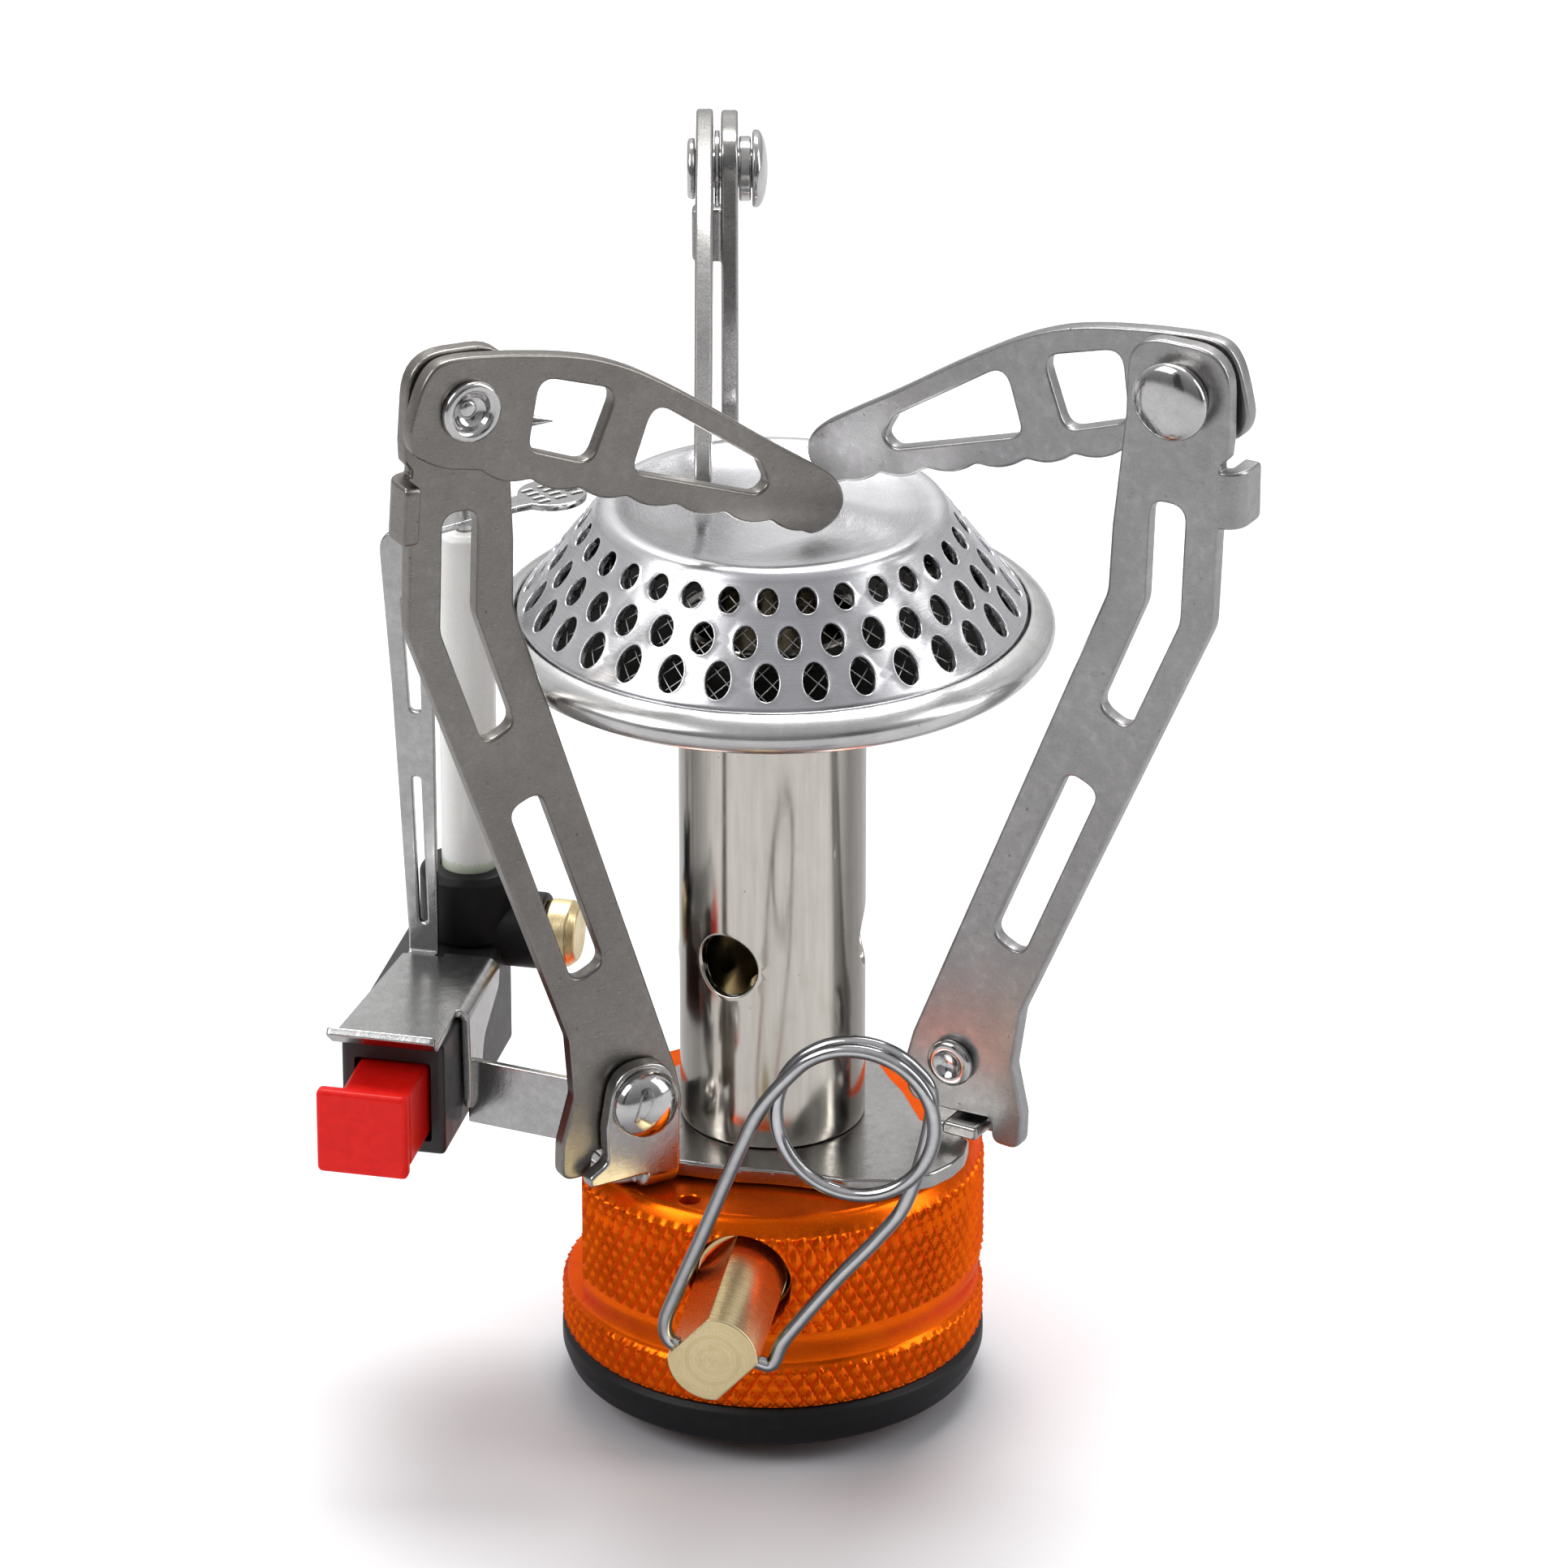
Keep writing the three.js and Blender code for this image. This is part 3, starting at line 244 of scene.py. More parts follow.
# ------------------------------------------------------------------ 3-D builders
def lathe(prof, seg=96, closed=False, fn=None):
    """Revolved solid about Z; prof is a list of (radius, z). fn(theta, index) may change a ring's radius."""
    V, F, rows = [], [], []
    th = np.arange(seg) * 2 * math.pi / seg
    for j, (r, z) in enumerate(prof):
        if r < 1e-6:
            rows.append([len(V)])
            V.append((0, 0, z))
        else:
            rr = np.full(seg, r) if fn is None else fn(th, j)
            rows.append(list(range(len(V), len(V) + seg)))
            V += list(zip(rr * np.cos(th), rr * np.sin(th), np.full(seg, z)))
    pairs = list(zip(rows[:-1], rows[1:])) + ([(rows[-1], rows[0])] if closed else [])
    for a, b in pairs:
        for i in range(seg):
            k = (i + 1) % seg
            if len(a) == 1 and len(b) == 1:
                continue
            if len(a) == 1:
                F.append((a[0], b[k], b[i]))
            elif len(b) == 1:
                F.append((a[i], a[k], b[0]))
            else:
                F.append((a[i], a[k], b[k], b[i]))
    return np.array(V, float), F, [0] * len(F)

def prof(pts, closed=False, seg=4, guard=0.04):
    return [tuple(q) for q in fillet(pts, seg, closed, guard)]

def sweep(path, r, sides=14, caps=True, taper=None):
    p = np.array(path, float)
    n = len(p)
    t = np.gradient(p, axis=0)
    t /= np.linalg.norm(t, axis=1, keepdims=True)
    a = np.cross(t[0], (0, 0, 1)) if abs(t[0][2]) < 0.9 else np.cross(t[0], (1, 0, 0))
    a = unit(a)
    V, rows = [], []
    ang = np.arange(sides) * 2 * math.pi / sides
    def ring(c, tt, nn, rr):
        bb = np.cross(tt, nn)
        rows.append(list(range(len(V), len(V) + sides)))
        for x in ang:
            V.append(c + rr * (math.cos(x) * nn + math.sin(x) * bb))
    rs = np.full(n, r) if taper is None else np.array(taper)
    frames = []
    for i in range(n):
        if i:
            v = np.cross(t[i - 1], t[i])
            s = np.linalg.norm(v)
            if s > 1e-9:
                q = Matrix.Rotation(math.atan2(s, float(t[i - 1] @ t[i])), 3, Vector(v / s))
                a = np.array(q @ Vector(a))
        a = unit(a - t[i] * (a @ t[i]))
        frames.append(a.copy())
    k = 4
    for j in range(k):
        x = math.pi / 2 * (j + 0.4) / (k + 0.4)
        ring(p[0] - t[0] * rs[0] * 0.5 * math.cos(x), t[0], frames[0], rs[0] * math.sin(x))
    for i in range(n):
        ring(p[i], t[i], frames[i], rs[i])
    for j in reversed(range(k)):
        x = math.pi / 2 * (j + 0.4) / (k + 0.4)
        ring(p[-1] + t[-1] * rs[-1] * 0.5 * math.cos(x), t[-1], frames[-1], rs[-1] * math.sin(x))
    F = []
    for A, B in zip(rows[:-1], rows[1:]):
        for i in range(sides):
            m = (i + 1) % sides
            F.append((A[i], A[m], B[m], B[i]))
    F.append(tuple(reversed(rows[0])))
    F.append(tuple(rows[-1]))
    return np.array(V, float), F, [0] * len(F)

def moved(part, M):
    V, F, G = part
    M = np.array(M, float)
    return V @ M[:3, :3].T + M[:3, 3], F, G

def join(*parts):
    V, F, G, off = [], [], [], 0
    for v, f, g in parts:
        V.append(v)
        F += [tuple(i + off for i in q) for q in f]
        G += list(g)
        off += len(v)
    return np.concatenate(V), F, G

def T(x, y, z):
    return np.array(Matrix.Translation((x, y, z)), float)

def RZ(a):
    return np.array(Matrix.Rotation(rad(a), 4, "Z"), float)

def basis(x, y, z, o=(0, 0, 0)):
    M = np.eye(4)
    M[:3, 0], M[:3, 1], M[:3, 2], M[:3, 3] = x, y, z, o
    return M

def along(a, b):
    """Matrix that puts local Z on the line from a towards b, origin at a."""
    a, b = np.array(a, float), np.array(b, float)
    z = unit(b - a)
    x = unit(np.cross((0, 0, 1), z)) if abs(z[2]) < 0.95 else np.array([1.0, 0, 0])
    x = unit(x - z * (x @ z))
    return basis(x, np.cross(z, x), z, a)

# ------------------------------------------------------------------ objects
def raw(part, name="tmp", merge=2e-5):
    V, F, G = part
    me = bpy.data.meshes.new(name)
    me.from_pydata([tuple(v) for v in V], [], F)
    me.polygons.foreach_set("material_index", np.array(G, np.int32))
    bm = bmesh.new()
    bm.from_mesh(me)
    bmesh.ops.remove_doubles(bm, verts=bm.verts, dist=merge)
    bmesh.ops.dissolve_degenerate(bm, edges=bm.edges, dist=1e-6)
    bmesh.ops.recalc_face_normals(bm, faces=bm.faces)
    bm.to_mesh(me)
    bm.free()
    o = bpy.data.objects.new(name, me)
    bpy.context.scene.collection.objects.link(o)
    return o

def boolean(a, b, op):
    """a and b are parts or objects, in millimetres; the result is object a."""
    if isinstance(a, tuple):
        a = raw(a)
    if isinstance(b, tuple):
        b = raw(b, "tool")
    m = a.modifiers.new("b", "BOOLEAN")
    m.object, m.operation, m.solver = b, op, "EXACT"
    bpy.context.view_layer.update()
    me = bpy.data.meshes.new_from_object(a.evaluated_get(bpy.context.evaluated_depsgraph_get()))
    a.modifiers.clear()
    a.data = me
    bpy.data.objects.remove(b)
    return a

def minus(a, *bs):
    for b in bs:
        a = boolean(a, b, "DIFFERENCE")
    return a

def plus(a, *bs):
    for b in bs:
        a = boolean(a, b, "UNION")
    return a

MATS = {}
PIECES = []

def close_cracks(bm):
    """Welds or fills hairline cracks left along cut lines, so the piece is closed."""
    rim = lambda: [e for e in bm.edges if len(e.link_faces) == 1]
    for d in (2e-7, 1e-6, 3e-6):
        if rim():
            bmesh.ops.remove_doubles(bm, verts=list({v for e in rim() for v in e.verts}), dist=d)
    if rim():
        bmesh.ops.holes_fill(bm, edges=rim(), sides=0)

def piece(name, part, body, nodes, mats, sharp=34, bevel=None):
    """Finishes a piece: millimetres to metres, shading, materials, and the body it rides on."""
    o = raw(part) if isinstance(part, tuple) else part
    o.name = name
    me = o.data
    me.name = name
    me.transform(Matrix.Translation((0, 0, -DATUM)))
    me.transform(Matrix.Scale(0.001, 4))
    bm = bmesh.new()
    bm.from_mesh(me)
    bmesh.ops.remove_doubles(bm, verts=bm.verts, dist=2e-8)
    bmesh.ops.dissolve_degenerate(bm, edges=bm.edges, dist=1e-9)
    close_cracks(bm)
    bmesh.ops.recalc_face_normals(bm, faces=bm.faces)
    bm.to_mesh(me)
    bm.free()
    me.polygons.foreach_set("use_smooth", np.ones(len(me.polygons), bool))
    me.set_sharp_from_angle(angle=rad(sharp))
    me.materials.clear()
    for m in mats if isinstance(mats, (list, tuple)) else [mats]:
        me.materials.append(MATS[m])
    if bevel:
        m = o.modifiers.new("edge", "BEVEL")
        m.width, m.segments, m.limit_method, m.angle_limit = bevel * 0.001, 2, "ANGLE", rad(40)
        m.harden_normals = False
    m = o.modifiers.new("shade", "WEIGHTED_NORMAL")
    m.mode, m.weight, m.keep_sharp = "FACE_AREA", 50, True
    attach(o, body)
    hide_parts(*nodes)
    PIECES.append(o)
    return o

# ------------------------------------------------------------------ materials
class N:
    """Small helper for node trees."""
    def __init__(self, name):
        self.m = bpy.data.materials.new(name)
        self.m.use_nodes = True
        self.t = self.m.node_tree
        self.b = self.t.nodes["Principled BSDF"]
        tc = self.t.nodes.new("ShaderNodeTexCoord")
        mp = self.t.nodes.new("ShaderNodeMapping")
        mp.inputs["Scale"].default_value = (1000, 1000, 1000)
        self.t.links.new(tc.outputs["Object"], mp.inputs["Vector"])
        self.mm = mp.outputs["Vector"]          # object coordinates in millimetres
        MATS[name] = self.m

    def link(self, a, b):
        self.t.links.new(a, b)
        return self

    def node(self, kind, **inputs):
        n = self.t.nodes.new(kind)
        for k, v in inputs.items():
            s = n.inputs[int(k[1:])] if k[0] == "i" and k[1:].isdigit() else n.inputs[k]
            if hasattr(v, "is_output"):
                self.t.links.new(v, s)
            else:
                s.default_value = v
        return n

    def scaled(self, x, y, z, vec=None, rot=(0, 0, 0)):
        n = self.t.nodes.new("ShaderNodeMapping")
        n.inputs["Scale"].default_value = (x, y, z)
        n.inputs["Rotation"].default_value = rot
        self.t.links.new(vec or self.mm, n.inputs["Vector"])
        return n.outputs["Vector"]

    def noise(self, scale, detail=3.0, rough=0.5, dist=0.0, vec=None):
        n = self.node("ShaderNodeTexNoise", Scale=scale, Detail=detail, Roughness=rough, Distortion=dist)
        self.t.links.new(vec or self.mm, n.inputs["Vector"])
        return n.outputs["Fac"]

    def voronoi(self, scale, vec=None, feature="F1", rand=1.0):
        n = self.t.nodes.new("ShaderNodeTexVoronoi")
        n.feature = feature
        n.inputs["Scale"].default_value = scale
        n.inputs["Randomness"].default_value = rand
        self.t.links.new(vec or self.mm, n.inputs["Vector"])
        return n.outputs["Distance"]

    def ramp(self, fac, *stops):
        n = self.t.nodes.new("ShaderNodeValToRGB")
        e = n.color_ramp.elements
        while len(e) < len(stops):
            e.new(0.5)
        for el, (p, c) in zip(e, stops):
            el.position = p
            el.color = (*c, 1) if isinstance(c, (tuple, list)) else (c, c, c, 1)
        self.t.links.new(fac, n.inputs["Fac"])
        return n.outputs["Color"]

    def math(self, op, a, b=0.0, c=0.0):
        n = self.t.nodes.new("ShaderNodeMath")
        n.operation = op
        for s, v in zip(n.inputs, (a, b, c)):
            if hasattr(v, "is_output"):
                self.t.links.new(v, s)
            else:
                s.default_value = v
        return n.outputs[0]

    def mix(self, fac, a, b, kind="MIX"):
        n = self.t.nodes.new("ShaderNodeMix")
        n.data_type = "RGBA"
        n.blend_type = kind
        for s, v in ((n.inputs[0], fac), (n.inputs[6], a), (n.inputs[7], b)):
            if hasattr(v, "is_output"):
                self.t.links.new(v, s)
            elif s is n.inputs[0]:
                s.default_value = v
            else:
                s.default_value = (*v, 1) if len(v) == 3 else v
        return n.outputs[2]

    def bump(self, height, strength=0.2, dist=0.05, normal=None):
        n = self.node("ShaderNodeBump", Strength=strength, Distance=dist * 0.001)
        self.t.links.new(height, n.inputs["Height"])
        if normal is not None:
            self.t.links.new(normal, n.inputs["Normal"])
        return n.outputs["Normal"]

    def set(self, **kw):
        for k, v in kw.items():
            s = self.b.inputs[k.replace("_", " ")]
            if hasattr(v, "is_output"):
                self.t.links.new(v, s)
            else:
                s.default_value = (*v, 1) if isinstance(v, tuple) and len(v) == 3 and s.type == "RGBA" else v
        return self

    def facing(self, *stops):
        """Grey value by how far the surface turns away from the viewer (0 straight on, 1 edge on)."""
        n = self.node("ShaderNodeLayerWeight", Blend=0.5)
        return self.ramp(n.outputs["Facing"], *stops)

    def xyz(self):
        n = self.t.nodes.new("ShaderNodeSeparateXYZ")
        self.t.links.new(self.mm, n.inputs[0])
        return n.outputs

def steel(name, a, b, r0, r1, pits=0.5, seed=0.0, streak=0.25):
    m = N(name)
    v = m.t.nodes.new("ShaderNodeMapping")
    v.inputs["Location"].default_value = (seed, seed * 1.7, seed * 0.6)
    m.link(m.mm, v.inputs["Vector"])
    v = v.outputs["Vector"]
    big = m.noise(0.16, 4, 0.6, 0.6, v)
    mid = m.noise(1.3, 5, 0.65, 0.2, v)
    fine = m.noise(9.0, 3, 0.6, 0.0, v)
    base = m.mix(m.ramp(big, (0.32, 0.0), (0.68, 1.0)), a, b)
    base = m.mix(m.ramp(mid, (0.3, 0.0), (0.72, 0.8)), base, tuple(x * 0.70 for x in b))
    base = m.mix(m.ramp(fine, (0.35, 0.0), (0.75, 0.35)), base, tuple(x * 1.25 for x in a))
    pit = m.voronoi(0.85, v)
    mask = m.ramp(m.noise(0.7, 2, 0.5, 0.0, v), (0.50, 0.0), (0.60, 1.0))
    hole = m.math("MULTIPLY", m.ramp(pit, (0.0, 1.0), (0.13, 0.0)), mask)
    hole = m.math("MULTIPLY", hole, pits)
    base = m.mix(hole, base, (0.10, 0.095, 0.09))
    scr = m.noise(2.0, 2, 0.5, 0.0, m.scaled(0.35, 0.35, 7.0, v, (0.5, 0.35, 0.2)))
    scr = m.ramp(scr, (0.46, 0.0), (0.5, 1.0), (0.54, 0.0))
    scr = m.math("MULTIPLY", scr, m.ramp(mid, (0.5, 0.0), (0.62, 1.0)))
    base = m.mix(m.math("MULTIPLY", scr, 0.35), base, (0.72, 0.71, 0.69))
    ro = m.math("ADD", m.math("MULTIPLY", mid, r1 - r0), r0)
    ro = m.math("ADD", ro, m.math("MULTIPLY", m.math("SUBTRACT", fine, 0.5), 0.12))
    n = m.bump(fine, 0.26, 0.02)
    n = m.bump(mid, streak, 0.06, n)
    n = m.bump(m.math("SUBTRACT", 1.0, hole), 0.5, 0.05, n)
    m.set(Base_Color=base, Metallic=1.0, Roughness=ro, Normal=n)
    return m

# One copy of the same tumbled steel for each leg and its arm: painted light and shade, the left leg's copy darker and
# warmer, the right and back legs' copies lighter
steel("tumbled_left_shaded", (0.33, 0.31, 0.288), (0.25, 0.235, 0.215), 0.24, 0.42, 0.9, 0.0)
steel("tumbled_right_lit", (0.50, 0.49, 0.49), (0.39, 0.385, 0.382), 0.22, 0.40, 0.7, 31.0)
steel("tumbled_back_lit", (0.48, 0.47, 0.455), (0.38, 0.37, 0.36), 0.20, 0.36, 0.6, 57.0)
steel("bracket_steel", (0.56, 0.55, 0.535), (0.42, 0.41, 0.40), 0.14, 0.30, 0.5, 11.0)
steel("holder_steel", (0.62, 0.615, 0.61), (0.50, 0.495, 0.49), 0.15, 0.28, 0.35, 83.0)

m = N("cut_edge")            # sheared edge: burnished land, then a torn band
v = m.scaled(1.0, 1.0, 1.0)
tear = m.noise(5.5, 4, 0.7, 0.4)
line = m.noise(12.0, 2, 0.5, 0.0, m.scaled(1.0, 1.0, 0.12))
base = m.mix(m.ramp(tear, (0.35, 0.0), (0.65, 1.0)), (0.93, 0.92, 0.90), (0.60, 0.59, 0.57))
n = m.bump(line, 0.30, 0.05)
n = m.bump(tear, 0.25, 0.05, n)
m.set(Base_Color=base, Metallic=1.0, Roughness=m.math("ADD", m.math("MULTIPLY", tear, 0.25), 0.12), Normal=n)

def spun(name, a, b, r0, r1, ring=0.10, mott=0.08, pits=0.0, lines=9.0):
    """Metal worked round the stove's axis: fine circular marks, light mottling."""
    m = N(name)
    x, y, z = m.xyz()
    rr = m.math("SQRT", m.math("ADD", m.math("MULTIPLY", x, x), m.math("MULTIPLY", y, y)))
    c = m.node("ShaderNodeCombineXYZ")
    m.link(rr, c.inputs[0]); m.link(z, c.inputs[2])
    th = m.math("ARCTAN2", y, x)
    m.link(m.math("MULTIPLY", th, 0.35), c.inputs[1])
    circ = m.noise(lines, 4, 0.7, 0.0, c.outputs[0])
    mid = m.noise(0.55, 4, 0.6, 0.5)
    fine = m.noise(7.0, 3, 0.6)
    base = m.mix(m.ramp(mid, (0.3, 0.0), (0.7, 1.0)), a, b)
    base = m.mix(m.math("MULTIPLY", m.ramp(circ, (0.45, 0.0), (0.62, 1.0)), 0.35), base, tuple(q * 0.78 for q in b))
    hole = None
    if pits:
        pit = m.math("MULTIPLY", m.ramp(m.voronoi(0.9), (0.0, 1.0), (0.10, 0.0)), m.ramp(m.noise(0.9, 2), (0.52, 0.0), (0.6, pits)))
        base = m.mix(pit, base, (0.08, 0.075, 0.07))
        hole = pit
    ro = m.math("ADD", m.math("MULTIPLY", circ, r1 - r0), r0)
    n = m.bump(circ, ring, 0.02)
    n = m.bump(mid, mott, 0.08, n)
    n = m.bump(fine, 0.05, 0.01, n)
    if hole is not None:
        n = m.bump(m.math("SUBTRACT", 1.0, hole), 0.4, 0.05, n)
    m.set(Base_Color=base, Metallic=1.0, Roughness=ro, Normal=n)
    return m

spun("cap_polish", (0.82, 0.82, 0.845), (0.74, 0.74, 0.76), 0.21, 0.34, 0.05, 0.10)
spun("pan_steel", (0.80, 0.80, 0.795), (0.66, 0.655, 0.65), 0.18, 0.34, 0.12, 0.10, 0.9)
spun("rivet_polish", (0.78, 0.77, 0.765), (0.62, 0.61, 0.60), 0.07, 0.17, 0.05, 0.22, 0.6)

m = N("nickel_tube")         # drawn tube: faint lengthways marks under bright plating, and painted dark reflection towards its edges
x, y, z = m.xyz()
c = m.node("ShaderNodeCombineXYZ")
m.link(m.math("MULTIPLY", m.math("ARCTAN2", y, x), 6.5), c.inputs[0])
m.link(m.math("MULTIPLY", z, 0.06), c.inputs[1])
draw = m.noise(2.2, 4, 0.65, 0.0, c.outputs[0])
blot = m.noise(0.5, 4, 0.6, 0.1)
spots = m.math("MULTIPLY", m.ramp(m.voronoi(0.8), (0.0, 1.0), (0.09, 0.0)), m.ramp(m.noise(0.6, 2), (0.5, 0.0), (0.58, 0.8)))
base = m.mix(m.ramp(draw, (0.35, 0.0), (0.65, 1.0)), (0.80, 0.755, 0.68), (0.69, 0.65, 0.58))
base = m.mix(m.ramp(blot, (0.55, 0.0), (0.8, 0.35)), base, (0.55, 0.51, 0.44))
base = m.mix(spots, base, (0.16, 0.13, 0.10))
# painted reflection: darker where the tube turns away from the camera, standing in for dark surroundings reflected
# there
base = m.mix(m.facing((0.26, 0.0), (0.46, 0.72), (0.80, 0.60)), base, (0.10, 0.095, 0.09))
n = m.bump(draw, 0.02, 0.03)
n = m.bump(blot, 0.008, 0.08, n)
m.set(Base_Color=base, Metallic=1.0, Roughness=m.math("ADD", m.math("MULTIPLY", blot, 0.16), 0.07), Normal=n)

m = N("anodised_orange")     # dyed oxide over turned aluminium
tone = m.noise(0.35, 3, 0.5, 0.3)
fine = m.noise(8.0, 3, 0.6)
base = m.mix(m.ramp(tone, (0.3, 0.0), (0.7, 1.0)), (1.0, 0.145, 0.003), (0.86, 0.105, 0.002))
base = m.mix(m.math("MULTIPLY", m.ramp(fine, (0.5, 0.0), (0.75, 1.0)), 0.30), base, (1.0, 0.24, 0.01))
n = m.bump(fine, 0.10, 0.015)
m.set(Base_Color=base, Metallic=0.78, Roughness=m.math("ADD", m.math("MULTIPLY", fine, 0.14), 0.18), Normal=n, Specular_Tint=(1.0, 0.35, 0.08))

def brass(name, axis_world, centre):
    """Free-machining brass with turning rings about the given axis."""
    m = N(name)
    v = m.node("ShaderNodeVectorMath")
    v.operation = "SUBTRACT"
    m.link(m.mm, v.inputs[0]); v.inputs[1].default_value = centre
    d = m.node("ShaderNodeVectorMath"); d.operation = "DOT_PRODUCT"
    m.link(v.outputs[0], d.inputs[0]); d.inputs[1].default_value = axis_world
    ln = m.node("ShaderNodeVectorMath"); ln.operation = "LENGTH"
    m.link(v.outputs[0], ln.inputs[0])
    rr = m.math("SQRT", m.math("MAXIMUM", m.math("SUBTRACT", m.math("MULTIPLY", ln.outputs["Value"], ln.outputs["Value"]), m.math("MULTIPLY", d.outputs["Value"], d.outputs["Value"])), 0.0))
    c = m.node("ShaderNodeCombineXYZ")
    m.link(rr, c.inputs[0]); m.link(d.outputs["Value"], c.inputs[1])
    rings = m.noise(6.5, 3, 0.7, 0.0, c.outputs[0])
    waves = m.math("SINE", m.math("MULTIPLY", rr, 42.0))
    blot = m.noise(0.8, 3, 0.5, 0.4)
    base = m.mix(m.ramp(rings, (0.3, 0.0), (0.7, 1.0)), (1.0, 0.84, 0.50), (0.90, 0.71, 0.38))
    base = m.mix(m.ramp(blot, (0.55, 0.0), (0.8, 0.4)), base, (0.66, 0.46, 0.22))
    n = m.bump(rings, 0.16, 0.03)
    n = m.bump(waves, 0.14, 0.01, n)
    t = m.node("ShaderNodeVectorMath"); t.operation = "CROSS_PRODUCT"
    t.inputs[0].default_value = axis_world; m.link(v.outputs[0], t.inputs[1])
    w = m.t.nodes.new("ShaderNodeVectorTransform")
    w.vector_type, w.convert_from, w.convert_to = "VECTOR", "OBJECT", "WORLD"
    m.link(t.outputs[0], w.inputs[0])
    u = m.node("ShaderNodeVectorMath"); u.operation = "NORMALIZE"
    m.link(w.outputs[0], u.inputs[0])
    m.set(Base_Color=base, Metallic=1.0, Roughness=m.math("ADD", m.math("MULTIPLY", rings, 0.16), 0.20), Normal=n, Anisotropic=0.7, Tangent=u.outputs[0])
    return m

SP_AZ, SP_Z, HINGE_R = 260.8, 15.8, 24.7
spU = np.array([math.cos(rad(SP_AZ)), math.sin(rad(SP_AZ)), 0])
brass("brass_spindle", tuple(spU), (0, 0, SP_Z - DATUM))
brass("brass_plain", (0, 0, 1), (0, 0, 0))
brass("brass_cap", (1, 0, 0), (-16, 10, 27))

m = N("steel_wire")          # drawn and polished wire, with painted dark reflections along its sides
fine = m.noise(14.0, 3, 0.6)
mid = m.noise(1.6, 3, 0.6)
base = m.mix(m.ramp(mid, (0.35, 0.0), (0.7, 1.0)), (0.95, 0.95, 0.96), (0.80, 0.80, 0.81))
# painted reflection: dark along the sides the wire turns away from the camera, bright down its middle
base = m.mix(m.facing((0.05, 0.0), (0.30, 0.93)), base, (0.13, 0.13, 0.135))
n = m.bump(fine, 0.08, 0.02)
m.set(Base_Color=base, Metallic=1.0, Roughness=m.math("ADD", m.math("MULTIPLY", mid, 0.10), 0.07), Normal=n)

m = N("black_rubber")
fine = m.noise(16.0, 3, 0.65)
mid = m.noise(1.1, 3, 0.5)
base = m.mix(mid, (0.006, 0.006, 0.007), (0.014, 0.014, 0.016))
n = m.bump(fine, 0.14, 0.02)
m.set(Base_Color=base, Roughness=m.math("ADD", m.math("MULTIPLY", mid, 0.18), 0.34), Normal=n, Specular_IOR_Level=0.22)

m = N("black_plastic")
fine = m.noise(11.0, 3, 0.6)
mid = m.noise(0.9, 3, 0.5)
base = m.mix(mid, (0.012, 0.012, 0.013), (0.03, 0.03, 0.032))
n = m.bump(fine, 0.10, 0.03)
m.set(Base_Color=base, Roughness=m.math("ADD", m.math("MULTIPLY", mid, 0.2), 0.28), Normal=n)

m = N("red_plastic")         # moulded button: slight flow marks and shrink
fine = m.noise(9.0, 3, 0.6)
flow = m.noise(0.9, 3, 0.5, 1.2)
base = m.mix(m.ramp(flow, (0.3, 0.0), (0.7, 1.0)), (0.80, 0.010, 0.006), (0.70, 0.006, 0.004))
n = m.bump(fine, 0.06, 0.03)
n = m.bump(flow, 0.12, 0.12, n)
m.set(Base_Color=base, Roughness=m.math("ADD", m.math("MULTIPLY", fine, 0.12), 0.30), Normal=n, Subsurface_Weight=0.12, Subsurface_Scale=0.0008, Specular_IOR_Level=0.22)
m.b.inputs["Subsurface Radius"].default_value = (1.0, 0.25, 0.15)

m = N("ceramic")             # glazed tube, greenish cement at its foot
x, y, z = m.xyz()
fine = m.noise(6.0, 3, 0.6)
spk = m.ramp(m.voronoi(1.4), (0.0, 1.0), (0.07, 0.0))
base = m.mix(m.ramp(fine, (0.3, 0.0), (0.7, 1.0)), (0.90, 0.895, 0.875), (0.84, 0.835, 0.81))
base = m.mix(m.math("MULTIPLY", spk, 0.25), base, (0.55, 0.53, 0.48))
lowz = m.math("LESS_THAN", m.math("ADD", z, m.math("MULTIPLY", fine, 1.2)), 33.2)
base = m.mix(m.math("MULTIPLY", lowz, 0.75), base, (0.62, 0.70, 0.52))
n = m.bump(fine, 0.05, 0.03)
m.set(Base_Color=base, Roughness=0.22, Normal=n, Subsurface_Weight=0.15, Subsurface_Scale=0.0006, Coat_Weight=0.3, Coat_Roughness=0.1)

m = N("gauze_wire")
fine = m.noise(10.0, 3, 0.6)
base = m.mix(fine, (0.72, 0.71, 0.70), (0.40, 0.39, 0.38))
m.set(Base_Color=base, Metallic=1.0, Roughness=m.math("ADD", m.math("MULTIPLY", fine, 0.2), 0.16), Normal=m.bump(fine, 0.1, 0.01))

m = N("burner_inside_painted_shade")          # metal inside the burner, painted near-black: painted shade
fine = m.noise(5.0, 3, 0.6)
m.set(Base_Color=m.mix(fine, (0.012, 0.011, 0.010), (0.05, 0.045, 0.04)), Metallic=0.6, Roughness=0.6, Normal=m.bump(fine, 0.15, 0.02))
m = N("hole_rim")             # burnished rim round each punched hole
fine = m.noise(6.0, 3, 0.6)
m.set(Base_Color=m.mix(fine, (0.95, 0.95, 0.95), (0.85, 0.85, 0.85)), Metallic=1.0, Roughness=m.math("ADD", m.math("MULTIPLY", fine, 0.1), 0.2), Normal=m.bump(fine, 0.1, 0.01))

def repaint(o, index, test):
    """Sets the material index of the faces whose centre (mm, datum frame) and normal pass the test."""
    for f in o.data.polygons:
        c = f.center * 1000
        if test(math.hypot(c.x, c.y), c.z + DATUM, f.normal, c):
            f.material_index = index

# ------------------------------------------------------------------ valve block
BASE = "stove_base"
BODY_R, KN, KH, KD = 15.0, 86, 1.86, 0.27

def band(z0, z1):
    n = max(2, round((z1 - z0) / (KH / 6)))
    return [(BODY_R, z0 + (z1 - z0) * k / n) for k in range(n + 1)]

